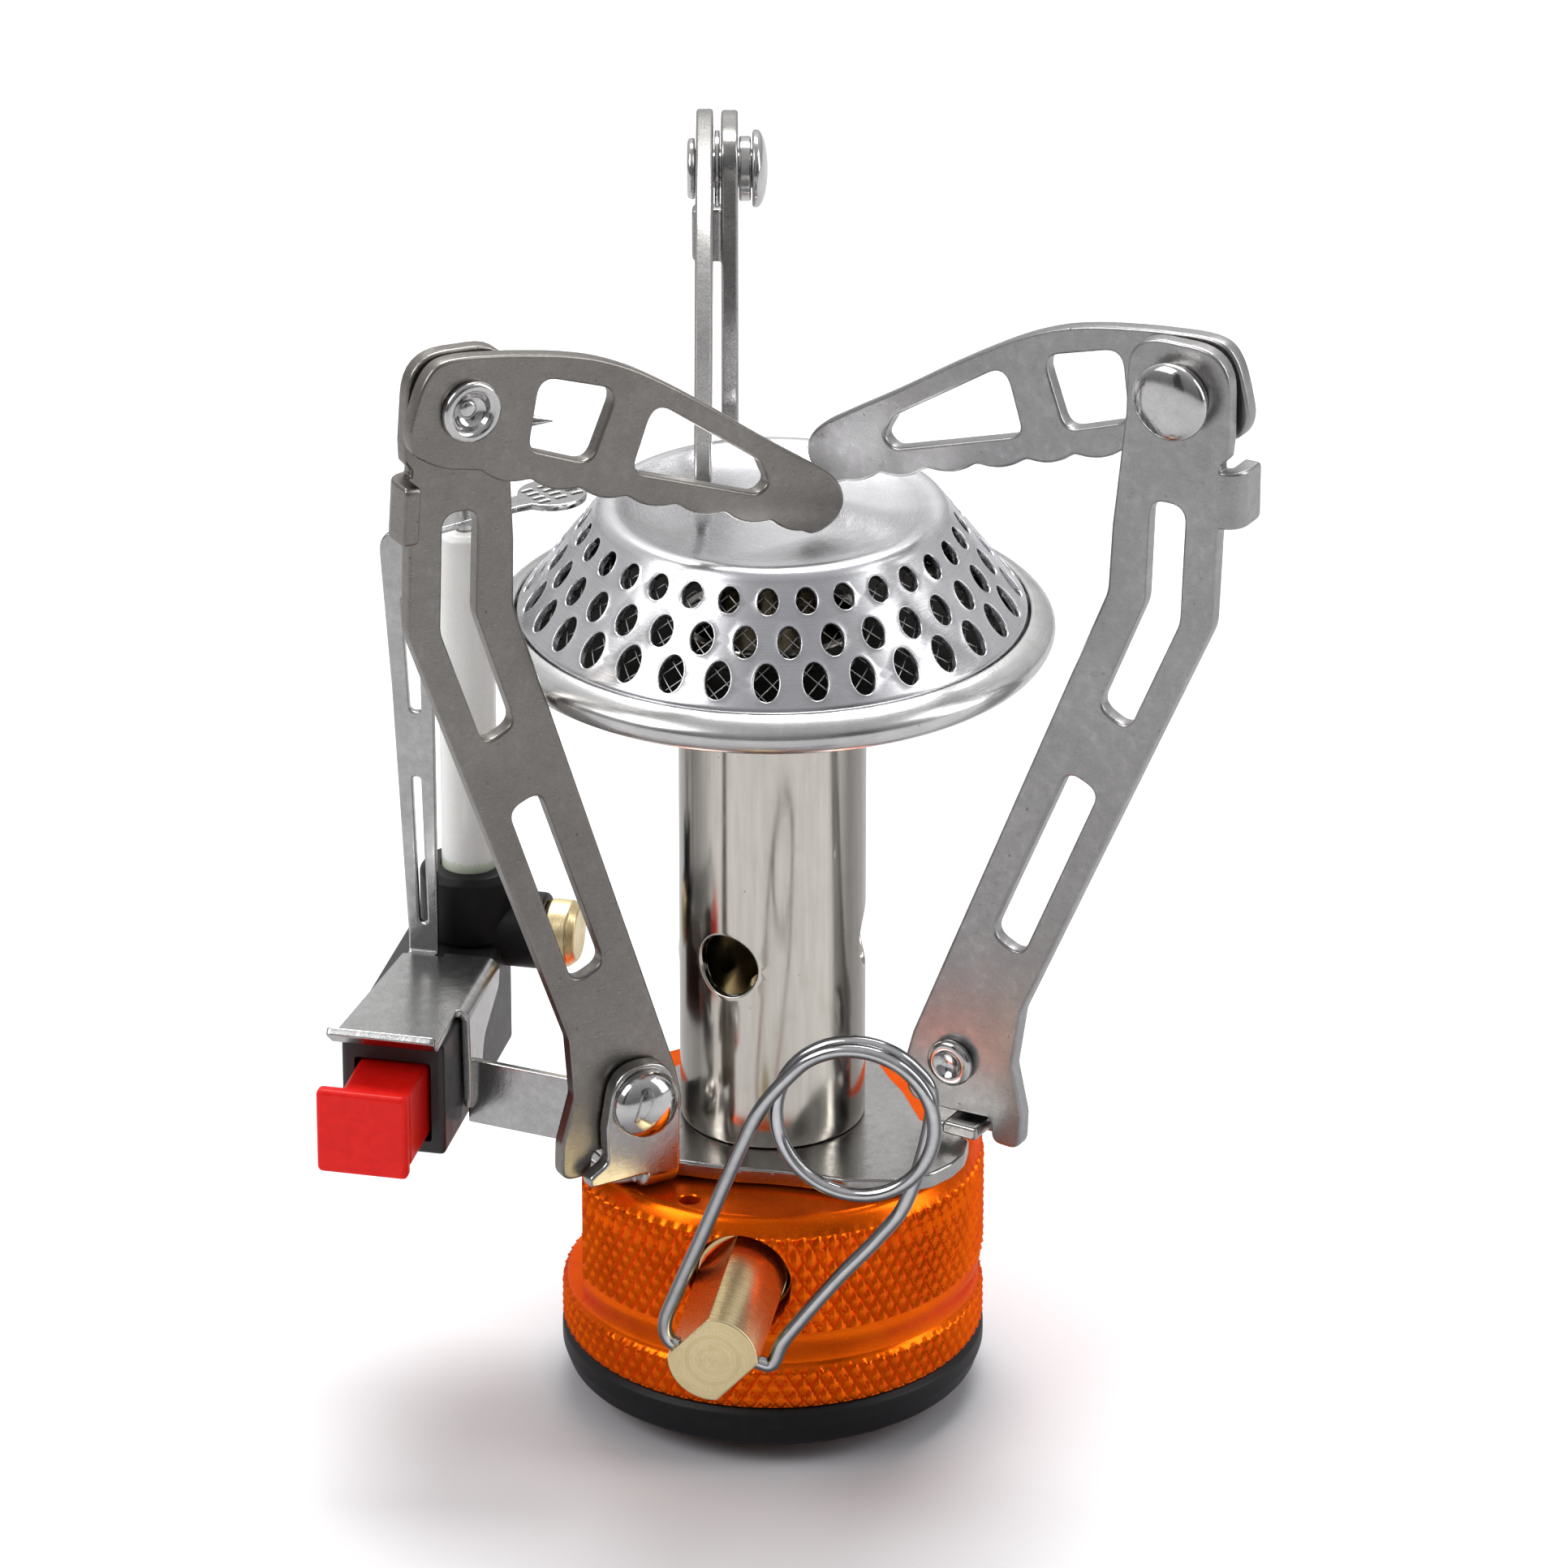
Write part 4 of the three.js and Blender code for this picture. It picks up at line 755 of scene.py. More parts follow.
low, high = band(6.30, 9.02), band(12.05, 19.35)
cove = [tuple(q) for q in smooth_open([(14.62, 9.18), (14.47, 9.5), (14.46, 9.95), (14.55, 10.4), (14.72, 10.9), (14.80, 11.35), (14.70, 11.9)], 3)]
nose = [(0, 1.2), (5, 1.2), (10.2, 1.2), (10.45, 1.22), (10.72, 1.36), (10.86, 1.6), (10.9, 1.9), (10.9, 5.9), (10.9, 6.0)]
body_prof = nose + [(12, 6.0), (14.3, 6.0), (14.62, 6.03), (14.74, 6.12)] + low + cove + high + \
    [(14.72, 19.5), (14.5, 19.9), (14.3, 20.25), (14.12, 20.5), (13.9, 20.66), (13.7, 20.7), (13.6, 20.7), (7.6, 20.7), (7.45, 20.74), (7.4, 20.82), (7.3, 20.9), (7.2, 20.9), (0, 20.9)]
kstart = len(nose) + 4
rows_k = set(range(kstart, kstart + len(low))) | set(range(kstart + len(low) + len(cove), kstart + len(low) + len(cove) + len(high)))
SEG = KN * 6

def knurl(th, j):
    r, z = body_prof[j]
    if j not in rows_k:
        return np.full(len(th), r)
    zq = round(z / (KH / 6)) / 6.0          # snap so the grooves run through grid points
    u = th * KN / (2 * math.pi)
    out = None
    for w in (u + zq, u - zq):
        f = np.abs((w % 1.0) - 0.5) * 2
        out = f if out is None else np.maximum(out, f)
    return r - KD * np.clip(out, 0, 1) ** 1.35

V, F, G = lathe(body_prof, SEG, fn=knurl)
R_ = np.hypot(V[:, 0], V[:, 1])
F2 = []
for q in F:                                   # split knurl quads along the groove
    if len(q) == 4 and (R_[list(q)].max() - R_[list(q)].min()) > 1e-5 and min(R_[list(q)]) > 14.7:
        a, b, c, d = q
        if abs(R_[a] - R_[c]) <= abs(R_[b] - R_[d]):
            F2 += [(a, b, c), (a, c, d)]
        else:
            F2 += [(a, b, d), (b, c, d)]
    else:
        F2.append(q)
body = raw((V, F2, [0] * len(F2)))
thread = [(0, -1.0), (5.75, -1.0), (5.75, 1.2)]
z = 1.35
while z < 8.0:                                # 7/16 in thread, 0.907 mm pitch
    thread += [(5.95, z), (5.95, z + 0.12), (5.5, z + 0.45), (5.5, z + 0.57)]
    z += 0.907
thread = [(0, -1.0), (6.3, -1.0), (6.3, 0.9), (5.95, 1.3)] + thread[3:] + [(5.7, 8.4), (0, 8.4)]
body = minus(body, lathe(thread, 72))
body = minus(body, moved(lathe([(0, 0), (1.2, 0), (1.2, 14), (0, 14)], 24), T(0, 0, 8)))
body = minus(body, moved(lathe([(0, 0), (3.1, 0), (3.1, 5), (0, 5)], 48), T(0, 0, 17)))
SPM = basis((-spU[1], spU[0], 0), (0, 0, 1), spU, (0, 0, SP_Z))     # X right, Y up, Z outward
bore = lathe([(0, 3), (1.0, 3), (1.0, 6.2), (2.6, 6.2), (2.6, 9.6), (3.6, 10.2), (3.6, 14.35), (3.72, 14.55), (4.1, 15.3), (4.1, 17), (0, 17)], 72)
body = minus(body, moved(bore, SPM))
flat = sheet(fillet([(-20, 9.45), (20, 9.45), (20, 24), (-20, 24)]), [], -20, -13.4, r=0.02, n=1)
body = minus(body, moved(flat, basis((0, 1, 0), (0, 0, 1), (1, 0, 0))))
body = minus(body, moved(lathe([(0, 0), (0.75, 0), (0.75, 4.1), (0.95, 4.35), (0.95, 5), (0, 5)], 28), T(-5.8, -11.2, 16.5)))
piece("valve_block", body, BASE, ["valve_body"], "anodised_orange", sharp=30)

seal = prof([(11.0, 2.9, .3), (11.0, 5.95, .15), (14.55, 5.95, .25), (15.0, 5.55, .35), (15.0, 4.4, .8), (14.55, 3.15, .7), (13.6, 2.5, .7), (12.0, 2.5, .6)], True, 6)
piece("canister_seal_ring", lathe(seal, 160, True), BASE, ["canister_seal"], "black_rubber", sharp=60)

def torus(R, r, z, seg=72, n=20):
    a = np.arange(n) * 2 * math.pi / n
    return lathe([(R + r * math.cos(x), z + r * math.sin(x)) for x in a], seg, True)

piece("inlet_seal_ring", torus(4.1, 0.85, 7.5), BASE, ["inlet_o_ring"], "black_rubber", sharp=60)
pin = lathe(prof([(0, 4.2), (0.8, 4.2, .05), (1.0, 4.42, .1), (1.0, 7.6, .1), (2.4, 7.6, .12), (2.4, 8.35, .12), (1.15, 8.35, .1), (1.15, 10.6, .15), (0, 10.6)]), 48)
pin = minus(pin, sheet(fillet([(-3, -.35), (3, -.35), (3, .35), (-3, .35)]), [], 7.9, 11, r=0.02, n=1))
piece("depressor", pin, BASE, ["depressor_pin"], "brass_plain")
gl = prof([(3.28, 10.62, .05), (3.28, 12.4, .05), (3.42, 12.58, .06), (3.55, 12.4, .05), (3.55, 10.62, .05)], True)
piece("gland_sleeve", moved(lathe(gl, 64, True), SPM), BASE, ["spindle_gland"], "brass_spindle")

# ------------------------------------------------------------------ shells with drilled holes
def shell(F_out, F_in, outline, holes, steiner, e_rings, nsect, turn):
    """One sector of a drilled shell in (u, s), repeated nsect times round Z."""
    cs = [outline] + [h if area(h) < 0 else h[::-1] for h in holes]
    inw = [inward(c) for c in cs]
    E = e_rings[0]
    top = [cs[0]] + [c + m * E for c, m in zip(cs[1:], inw[1:])]
    st = steiner[inside(steiner, top)]
    keep = np.ones(len(st), bool)
    for c in top:
        seglen = np.linalg.norm(np.roll(c, -1, 0) - c, axis=1).mean()
        d = np.min(np.linalg.norm(st[:, None] - c[None], axis=2), axis=1)
        keep &= d > seglen * 0.55
    st = st[keep]
    tris, add = cdt(top, extra=st)
    flatp = np.concatenate(top + [st] + ([add] if len(add) else []))
    n0 = len(flatp)
    Vo = F_out(flatp[:, 0], flatp[:, 1], np.zeros(n0))
    Vi = F_in(flatp[:, 0], flatp[:, 1], np.zeros(n0))
    V, Fc, G = [Vo, Vi], [], []
    for a, b, c in tris:
        Fc += [(a, b, c), (n0 + a, n0 + c, n0 + b)]
        G += [0, 0]
    off, cur = len(cs[0]), 2 * n0
    for c, mm_, t in zip(cs[1:], inw[1:], top[1:]):
        k = len(c)
        prev = list(range(off, off + k))
        for side, ins, dep in e_rings[1]:
            q = c + mm_ * ins
            W = (F_out if side == "o" else F_in)(q[:, 0], q[:, 1], np.full(k, dep))
            V.append(W)
            now = list(range(cur, cur + k))
            cur += k
            for i in range(k):
                j = (i + 1) % k
                Fc.append((prev[i], prev[j], now[j], now[i]))
                G.append(e_rings[2])
            prev = now
        last = list(range(n0 + off, n0 + off + k))
        for i in range(k):
            j = (i + 1) % k
            Fc.append((prev[i], prev[j], last[j], last[i]))
            G.append(0)
        off += k
    V = np.concatenate(V)
    parts = []
    for s in range(nsect):
        parts.append(moved((V, Fc, G), RZ(turn * s)))
    return join(*parts)

# mixing tube with three air holes
TUBE_R, TUBE_I, TZ0, TZ1 = 6.53, 5.9, 22.2, 60.2
hole_pts = []
for k in range(40):
    x = -2 * math.pi * k / 40
    hole_pts.append((math.asin(2.3 * math.cos(x) / TUBE_R), 36.0 + 2.3 * math.sin(x)))
# scale u to millimetres for the insets, back in the map
def tube_out(u, s, d):
    a = rad(240) + u / TUBE_R
    rr = TUBE_R - d
    return np.stack([rr * np.cos(a), rr * np.sin(a), s], 1)
def tube_in(u, s, d):
    a = rad(240) + u / TUBE_R
    rr = TUBE_I + d
    return np.stack([rr * np.cos(a), rr * np.sin(a), s], 1)
half = TUBE_R * math.pi / 3
NT = 48
hz0, hz1 = TZ0 + 1.2, 56.5
us = np.linspace(-half, half, NT + 1)
zs = np.linspace(hz0, hz1, 26)
outl = np.array([(u, hz0) for u in us[:-1]] + [(half, z) for z in zs[:-1]] + [(u, hz1) for u in us[::-1][:-1]] + [(-half, z) for z in zs[::-1][:-1]])
grid = np.array([(u, z) for u in us[1:-1] for z in zs[1:-1]])
hole = np.array([(a * TUBE_R, z) for a, z in hole_pts])
t1 = shell(tube_out, tube_in, outl, [hole], grid, (0.30, [("o", .16, 0.005), ("o", .08, 0.03), ("o", .02, 0.09), ("o", 0, 0.17), ("i", 0, 0.12), ("i", .03, 0.04), ("i", .10, 0.0)], 0), 3, 120)
low_o = lathe([(TUBE_R, hz0), (TUBE_R, 22.42), (TUBE_R - .04, 22.3), (TUBE_R - .14, 22.22), (TUBE_R - .3, 22.2), (3.6, 22.2), (3.5, 22.3), (3.5, 23.2), (3.6, 23.3), (TUBE_I, 23.3), (TUBE_I, hz0)], NT * 3)
top_o = lathe([(TUBE_R, hz1), (TUBE_R, 56.6), (6.62, 56.75), (TUBE_R + 0.45, 57.15), (TUBE_R + 0.6, 57.4), (TUBE_R + 0.6, 58.0), (TUBE_R + .56, 58.04), (TUBE_R + .03, 58.05), (TUBE_R, 58.08), (TUBE_R, 60.1), (TUBE_R - .08, 60.2), (TUBE_I + .08, 60.2), (TUBE_I, 60.1), (TUBE_I, hz1)], NT * 3)
# the lathes start at azimuth 0 and the sectors at 240 - 60, so the seams meet on the same points
piece("mixing_tube_shell", raw(join(t1, low_o, top_o), merge=4e-4), BASE, ["mixing_tube"], "nickel_tube", sharp=32)

# jet
jet = lathe(prof([(0, 17.4), (2.95, 17.4, .1), (2.95, 23.3, .02), (3.5, 23.32, .05), (4.7, 23.34, .15), (4.7, 26.2, .2), (2.6, 26.7, .3), (2.2, 30.5, .3), (1.5, 32.2, .25), (0.3, 32.2)], seg=3) + [(0.3, 30.0), (1.0, 29.6), (1.0, 17.9), (0, 17.9)], 64)
hexo = sheet(fillet([(4.1 * math.cos(rad(60 * i)), 4.1 * math.sin(rad(60 * i)), .15) for i in range(6)]), [], 23.36, 26.3, r=.12)
keep = plus(hexo, moved(lathe([(0, 15), (3.0, 15), (3.0, 23.6), (0, 23.6)], 64), np.eye(4)), moved(lathe([(0, 26.1), (2.9, 26.1), (2.9, 34), (0, 34)], 64), np.eye(4)))
jet = boolean(jet, keep, "INTERSECT")
piece("jet", jet, BASE, ["jet_nozzle"], "brass_plain")

# burner pan: pressed dish, rolled rim
P0 = 58.1
pan_out = [(6.62, P0), (7.0, P0 - 0.0), (16.9, P0), (17.7, P0 + .02), (18.35, P0 + .12), (18.9, P0 + .38), (19.28, P0 + .78), (19.48, P0 + 1.2), (19.53, P0 + 1.55), (19.42, P0 + 1.9), (19.16, P0 + 2.2),
           (18.84, P0 + 2.46), (18.5, P0 + 2.66), (18.2, P0 + 2.78), (18.0, P0 + 2.83), (17.86, P0 + 2.78), (17.8, P0 + 2.66)]
pan_in = [(17.9, P0 + 2.5), (18.2, P0 + 2.25), (18.6, P0 + 1.9), (18.88, P0 + 1.6), (18.98, P0 + 1.3), (18.88, P0 + 1.0), (18.62, P0 + .78), (18.2, P0 + .64), (17.6, P0 + .6), (6.62, P0 + .6)]
pp = [tuple(q) for q in smooth_open(pan_out[2:], 4)]
pi_ = [tuple(q) for q in smooth_open(pan_in[:-1], 3)]
pan_o = piece("burner_pan_dish", lathe([(6.62, P0)] + pp + pi_ + [(6.62, P0 + .6)], 200, True), BASE, ["burner_pan"], ["pan_steel", "burner_inside_painted_shade"], sharp=50)
# painted shade: the pan floor under the cap takes the near-black inside material
repaint(pan_o, 1, lambda r, z, n, c: n.z > 0.5 and r < 17.9 and z < P0 + 1.2)

# burner cap: drilled cone between a dished crown and a skirt
CR, CZ0, CT, CZT = 17.6, 61.04, 12.3, 68.03
cd = unit(np.array([CT - CR, CZT - CZ0]))
cn = np.array([-cd[1], cd[0]])                # inward
CL = math.hypot(CT - CR, CZT - CZ0)
NH, PH = 31, -1.4
p_ = 2 * math.pi / NH
kk = 8
def cone(s0):
    def f(u, s, d):
        off = s0 + d if s0 else d
        sR = CR + cd[0] * s + cn[0] * off
        sZ = CZ0 + cd[1] * s + cn[1] * off
        a = rad(270 + PH) + u / UM
        return np.stack([sR * np.cos(a), sR * np.sin(a), sZ], 1)
    return f
UM = 14.9                                     # u is an arc length at the mean radius
rows = [[13.04, 67.05, .72, .92, 0], [14.75, 64.8, .80, 1.13, .5], [16.42, 62.6, .86, 1.34, 0]]
holes = []
for R, z, hw, hh, st in rows:
    s = ((R - CR) * cd[0] + (z - CZ0) * cd[1])
    holes.append(circle(st * p_ * UM, s, hw * UM / R, 26, hh))
sh = [h[:, 1].mean() for h in holes]
s_lo, s_hi = 0.25, CL - 0.22
path = [(-.5, s_lo), (-.5, sh[2] + .2), (0, sh[1] - .15), (0, sh[1] + .15), (-.5, sh[0] - .15), (-.5, s_hi)]
seam = []
for (a, b), (c, d) in zip(path[:-1], path[1:]):
    L = math.hypot((c - a) * p_ * UM, d - b)
    n = max(1, round(L / 0.42))
    seam += [(a + (c - a) * k / n, b + (d - b) * k / n) for k in range(n)]
seam.append(path[-1])
seam = np.array(seam)
W = p_ * UM
left = np.column_stack([seam[:, 0] * W, seam[:, 1]])
right = left + (W, 0)
bot = np.array([(-.5 * W + W * k / kk, s_lo) for k in range(1, kk)])
topp = np.array([(.5 * W - W * k / kk, s_hi) for k in range(1, kk)])
outl = np.concatenate([left[:1], bot, right, topp, left[::-1][:-1]])
grid = np.array([(-.5 * W + W * (i + .5 * (j % 2)) / kk, s_lo + (s_hi - s_lo) * j / 22) for i in range(2 * kk) for j in range(1, 22)])
KT = 0.5
cone_o, cone_i = cone(0), cone(KT)
def cone_in(u, s, d):
    return cone(0)(u, s, KT - d)
cap = shell(cone(0), cone_in, outl, holes, grid, (0.17, [("o", .12, -.012), ("o", .075, -.02), ("o", .035, 0.0), ("o", .008, .05), ("o", 0, .11), ("i", 0, 0.05), ("i", .04, 0.0)], 1), NH, 360 / NH)
def cpt(s, d):
    return (CR + cd[0] * s + cn[0] * d, CZ0 + cd[1] * s + cn[1] * d)
a0 = rad(270 + PH) - .5 * p_
crown = [cpt(s_hi, 0)] + [tuple(q) for q in smooth_open([cpt(CL - .05, 0), (12.08, 68.33), (11.78, 68.6), (11.38, 68.74), (10.95, 68.74), (10.5, 68.63), (9.8, 68.40), (8.9, 68.18), (7.6, 67.97), (6.0, 67.83), (4.2, 67.76), (2.2, 67.71), (0, 67.7)], 5)]
crin = [cpt(s_hi, KT)] + [tuple(q) for q in smooth_open([cpt(CL - .25, KT), (11.55, 68.05), (11.2, 68.2), (10.8, 68.18), (9.8, 67.9), (8.8, 67.68), (7.6, 67.47), (6.0, 67.33), (4.2, 67.26), (2.2, 67.21), (0, 67.2)], 3)]
skirt = [cpt(s_lo, 0)] + [tuple(q) for q in smooth_open([cpt(.1, 0), (17.6, 60.95), (17.62, 60.7), (17.6, 60.4)], 4)] + [(17.6, 58.9), (17.52, 58.78), (17.18, 58.78), (17.1, 58.9), (17.1, 60.7), cpt(.12, KT), cpt(s_lo, KT)]
seg = NH * kk
rot = RZ(math.degrees(a0))
cap_o = piece("burner_cap_shell", raw(join(cap, moved(lathe(crown, seg), rot), moved(lathe(crin, seg), rot), moved(lathe(skirt, seg), rot)), merge=6e-4), BASE, ["burner_cap"], ["cap_polish", "hole_rim", "burner_inside_painted_shade"], sharp=40)
# painted shade: the inner faces of the cap take the near-black inside material
repaint(cap_o, 2, lambda r, z, n, c: (r - CR) * cn[0] + (z - CZ0) * cn[1] > 0.36 and (z < 67.6 and (n.x * c.x + n.y * c.y) < 0 or n.z < -0.3) and r > 2)
repaint(cap_o, 2, lambda r, z, n, c: n.z < -0.3 and z > 66.5)

# woven gauze on a cone behind the holes
WR, PITCH, GO = 0.055, 1.0, 0.80
parts = []
nw = int(round(2 * math.pi * 14.4 / (PITCH * math.sqrt(2))))
smin, smax = 0.35, CL - 0.5
ns = 30
for fam in (1, -1):
    for k in range(nw):
        s = np.linspace(smin, smax, ns)
        R_s = CR + cd[0] * s + cn[0] * GO
        th = 2 * math.pi * k / nw + fam * np.concatenate([[0], np.cumsum(np.diff(s) / ((R_s[1:] + R_s[:-1]) / 2))])
        w = fam * (WR + 0.01)
        z = CZ0 + cd[1] * s + cn[1] * (GO + w)
        rr = CR + cd[0] * s + cn[0] * (GO + w)
        parts.append(sweep(np.stack([rr * np.cos(th), rr * np.sin(th), z], 1)[::2], WR, 5))
piece("burner_gauze", raw(join(*parts), merge=1e-6), BASE, ["burner_mesh"], "gauze_wire", sharp=80)

# ------------------------------------------------------------------ leg bracket
LEG_AZ, LEG_IN = [330, 210, 90], [0, 3.9, 3.9]
LP_R, LP_Z, UP_R, UP_Z = 13.2, 28.2, 29.9, 82.0
def frame_of(az):
    er = np.array([math.cos(rad(az)), math.sin(rad(az)), 0])
    et = np.array([-er[1], er[0], 0])
    return er, et
A0 = 3.5 + 0.9 * math.pi / 2                  # flattened end of the ear bend
pts, levels, eh = [], [], []
ear = [(12.95, A0 + .02, .15), (17.4, A0 + .02, .3), (17.5, A0 + .75, .5), (16.0, A0 + 1.65, .8), (16.1, A0 + 4.15, 2.6), (15.3, A0 + 8.58, 2.8), (11.0, A0 + 8.58, 2.8), (10.3, A0 + 4.15, 2.6)]
for az in sorted(LEG_AZ):
    er, et = frame_of(az)
    for d, r in [[-60, 9.6], [-48, 10.3], [-35, 12.2], [-22, 14.1], [-12, 15.0], [-4, 15.2], [3, 15.1]]:
        pts.append((r * math.cos(rad(az + d)), r * math.sin(rad(az + d)), 2.0))
    for r, t, q in [(14.4, 2.6, .5), (12.95, 3.2, .3)] + ear + [(10.3, 3.3, .3)]:
        w = er * r + et * t
        pts.append((w[0], w[1], q))
    pts.append((9.6 * math.cos(rad(az + 46)), 9.6 * math.sin(rad(az + 46)), 1.5))
    for k in range(7):
        t = 3.5 + (A0 - 3.5) * k / 6
        w = er * 11.6 + et * t
        levels.append((np.array([w[0], w[1]]), (et[0], et[1]), -1.7, 1.7))
    w = er * LP_R + et * (A0 + LP_Z - 22.45)
    eh.append(circle(w[0], w[1], 1.27, 28))
def bend_plate(u, v, h):
    out = np.column_stack([u, v, h]).astype(float)
    for az in LEG_AZ:
        er, et = frame_of(az)
        r = u * er[0] + v * er[1]
        t = u * et[0] + v * et[1]
        m = (t > 3.5) & (r > 9.9) & (r < 18.5)
        rho = 22.45 - h
        ph = np.clip((t - 3.5) / 0.9, 0, math.pi / 2)
        rest = np.maximum(t - A0, 0)
        tt = 3.5 + rho * np.sin(ph)
        zz = 22.45 - rho * np.cos(ph) + rest
        q = er[None] * r[:, None] + et[None] * tt[:, None]
        q[:, 2] = zz
        out[m] = q[m]
    return out
br = raw(sheet(fillet(pts, 6), [circle(0, 0, 3.2, 48)] + eh, 20.95, 22.15, r=.2, n=4, levels=levels, fmap=bend_plate))
for az in LEG_AZ:
    er, et = frame_of(az)
    ton = sheet(fillet([(12.95, 22.92, .25), (15.75, 22.9, .45), (15.75, 23.9, .3), (12.95, 23.9, .45)]), [], 1.2, 4.1, r=.22)
    br = plus(br, moved(ton, basis(er, (0, 0, 1), et)))
piece("leg_bracket_plate", br, BASE, ["leg_bracket"], ["bracket_steel", "cut_edge"])

# ------------------------------------------------------------------ legs and arms
LEG = [(13.2, 24.2, 2.6), (15.95, 24.3, .25), (16.2, 23.9, .3), (16.3, 22.5, .9), (18.6, 22.35, 1.1), (18.7, 25.2, 1.5), (17.9, 28.8, 1.6), (18.55, 33.2, 2.0),
       (32.75, 65.6, 3.5), (33.0, 72.3, .3), (33.1, 72.95, .15), (36.33, 72.95, .5), (36.33, 77.1, .5), (33.1, 77.1, .12), (33.1, 77.55, .2), (33.6, 78.1, .4), (33.75, 79.5, 2.0), (33.7, 85.75, 3.9), (26.0, 85.75, 3.9), (25.9, 79.9, 2.5), (25.0, 71.5, 2.0), (24.75, 66.6, 3.5),
       (9.9, 29.6, 2.0), (9.2, 27.0, 2.4), (9.6, 24.2, 2.8)]
SLOT1 = [(27.85, 74.0, 1.2), (27.6, 66.4, 3.0), (24.15, 57.9, 1.1), (26.5, 56.6, 1.1), (30.25, 65.4, 3.0), (30.55, 74.0, 1.2)]
SLOT2 = [(21.9, 52.5, 1.1), (16.1, 38.7, 1.1), (18.5, 37.5, 1.1), (24.3, 51.4, 1.1)]
rel = lambda L: [(x - LP_R, y - LP_Z, *q) for x, y, *q in L]
XB = 33.1 - LP_R
def bend_leg(u, v, h):
    """h is minus t; the tab turns towards +t round an axis at t = 3.9."""
    t = -h
    m = (u > XB) & (v > 72.8 - LP_Z) & (v < 77.2 - LP_Z)
    rho = 3.9 - t
    ph = np.clip((u - XB) / 0.9, 0, math.pi / 2)
    rest = np.maximum(u - XB - 0.9 * math.pi / 2, 0)
    x = np.where(m, XB + rho * np.sin(ph), u)
    tt = np.where(m, 3.9 - rho * np.cos(ph) + rest, t)
    return np.column_stack([x, v, -tt])
lev = [(np.array([XB + 0.9 * math.pi / 2 * k / 6, 75.0 - LP_Z]), (1, 0), -2.5, 2.5) for k in range(7)]
leg_part = sheet(fillet(rel(LEG), 8), [fillet(rel(SLOT1), 8), fillet(rel(SLOT2), 8), circle(0, 0, 1.32, 28), circle(UP_R - LP_R, UP_Z - LP_Z, 1.41, 28)],
                 -3.6, -2.4, r=.22, r0=.22, n=4, levels=lev, fmap=bend_leg)

CUSPS = [[-1.2, -4.5], [-5.0, -5.6], [-8.8, -6.75], [-12.5, -7.9], [-16.35, -9.05], [-20.2, -10.2], [-23.85, -11.35]]
ARM_TOP = [[-26.4, -12.55], [-27.3, -12.85], [-28.4, -12.55], [-29.25, -11.8], [-29.6, -10.8], [-29.35, -9.8], [-28.5, -8.75], [-26.8, -7.6], [-22.6, -5.0], [-18.4, -2.25],
           [-14.6, 0.05], [-12.1, 1.35], [-9.6, 2.3], [-7.1, 2.9], [-4.9, 3.25], [-2.0, 3.6], [1.5, 3.75], [2.7, 3.35], [3.5, 2.3], [4.15, 0.2], [4.4, -1.4], [4.0, -2.6], [3.0, -3.35], [1.3, -4.05], [0.1, -4.25], [-1.2, -4.5]]
WIN1 = [(-23.6, -8.6, .9), (-22.7, -6.9, 1.0), (-14.2, -1.4, 1.2), (-12.75, -6.25, 1.0), (-22.7, -9.3, .9)]
WIN2 = [(-11.3, -0.1, 1.2), (-5.3, 1.6, 1.2), (-4.7, -3.5, 1.1), (-9.5, -5.15, 1.1)]
arm_c = []
for i, a in enumerate(CUSPS):
    b = CUSPS[i + 1] if i + 1 < len(CUSPS) else ARM_TOP[0]
    deep = 0.48 if i + 1 < len(CUSPS) else 0.25
    for j in range(12):
        t = j / 12
        if j == 0 and i:
            t = 0.0
        k = 4 * t * (1 - t) * deep
        arm_c.append((a[0] + (b[0] - a[0]) * t + 0.29 * k, a[1] + (b[1] - a[1]) * t - 0.957 * k))
arm_c = arm_c[:-1]
top_c = smooth_open(ARM_TOP, 5)
arm_outline = np.array(arm_c + [tuple(q) for q in top_c[:-1]])
# soften the cusps between the teeth a little
sm = arm_outline.copy()
for i in range(1, len(CUSPS)):
    k = i * 12
    if k + 1 < len(sm):
        sm[k] = 0.5 * arm_outline[k] + 0.25 * (arm_outline[k - 1] + arm_outline[k + 1])
arm_outline = sm
arm_part = sheet(arm_outline, [fillet(WIN1, 8), fillet(WIN2, 8), circle(0, 0, 1.47, 28)], -5.35, -4.15, r=.21, r0=.21, n=4)

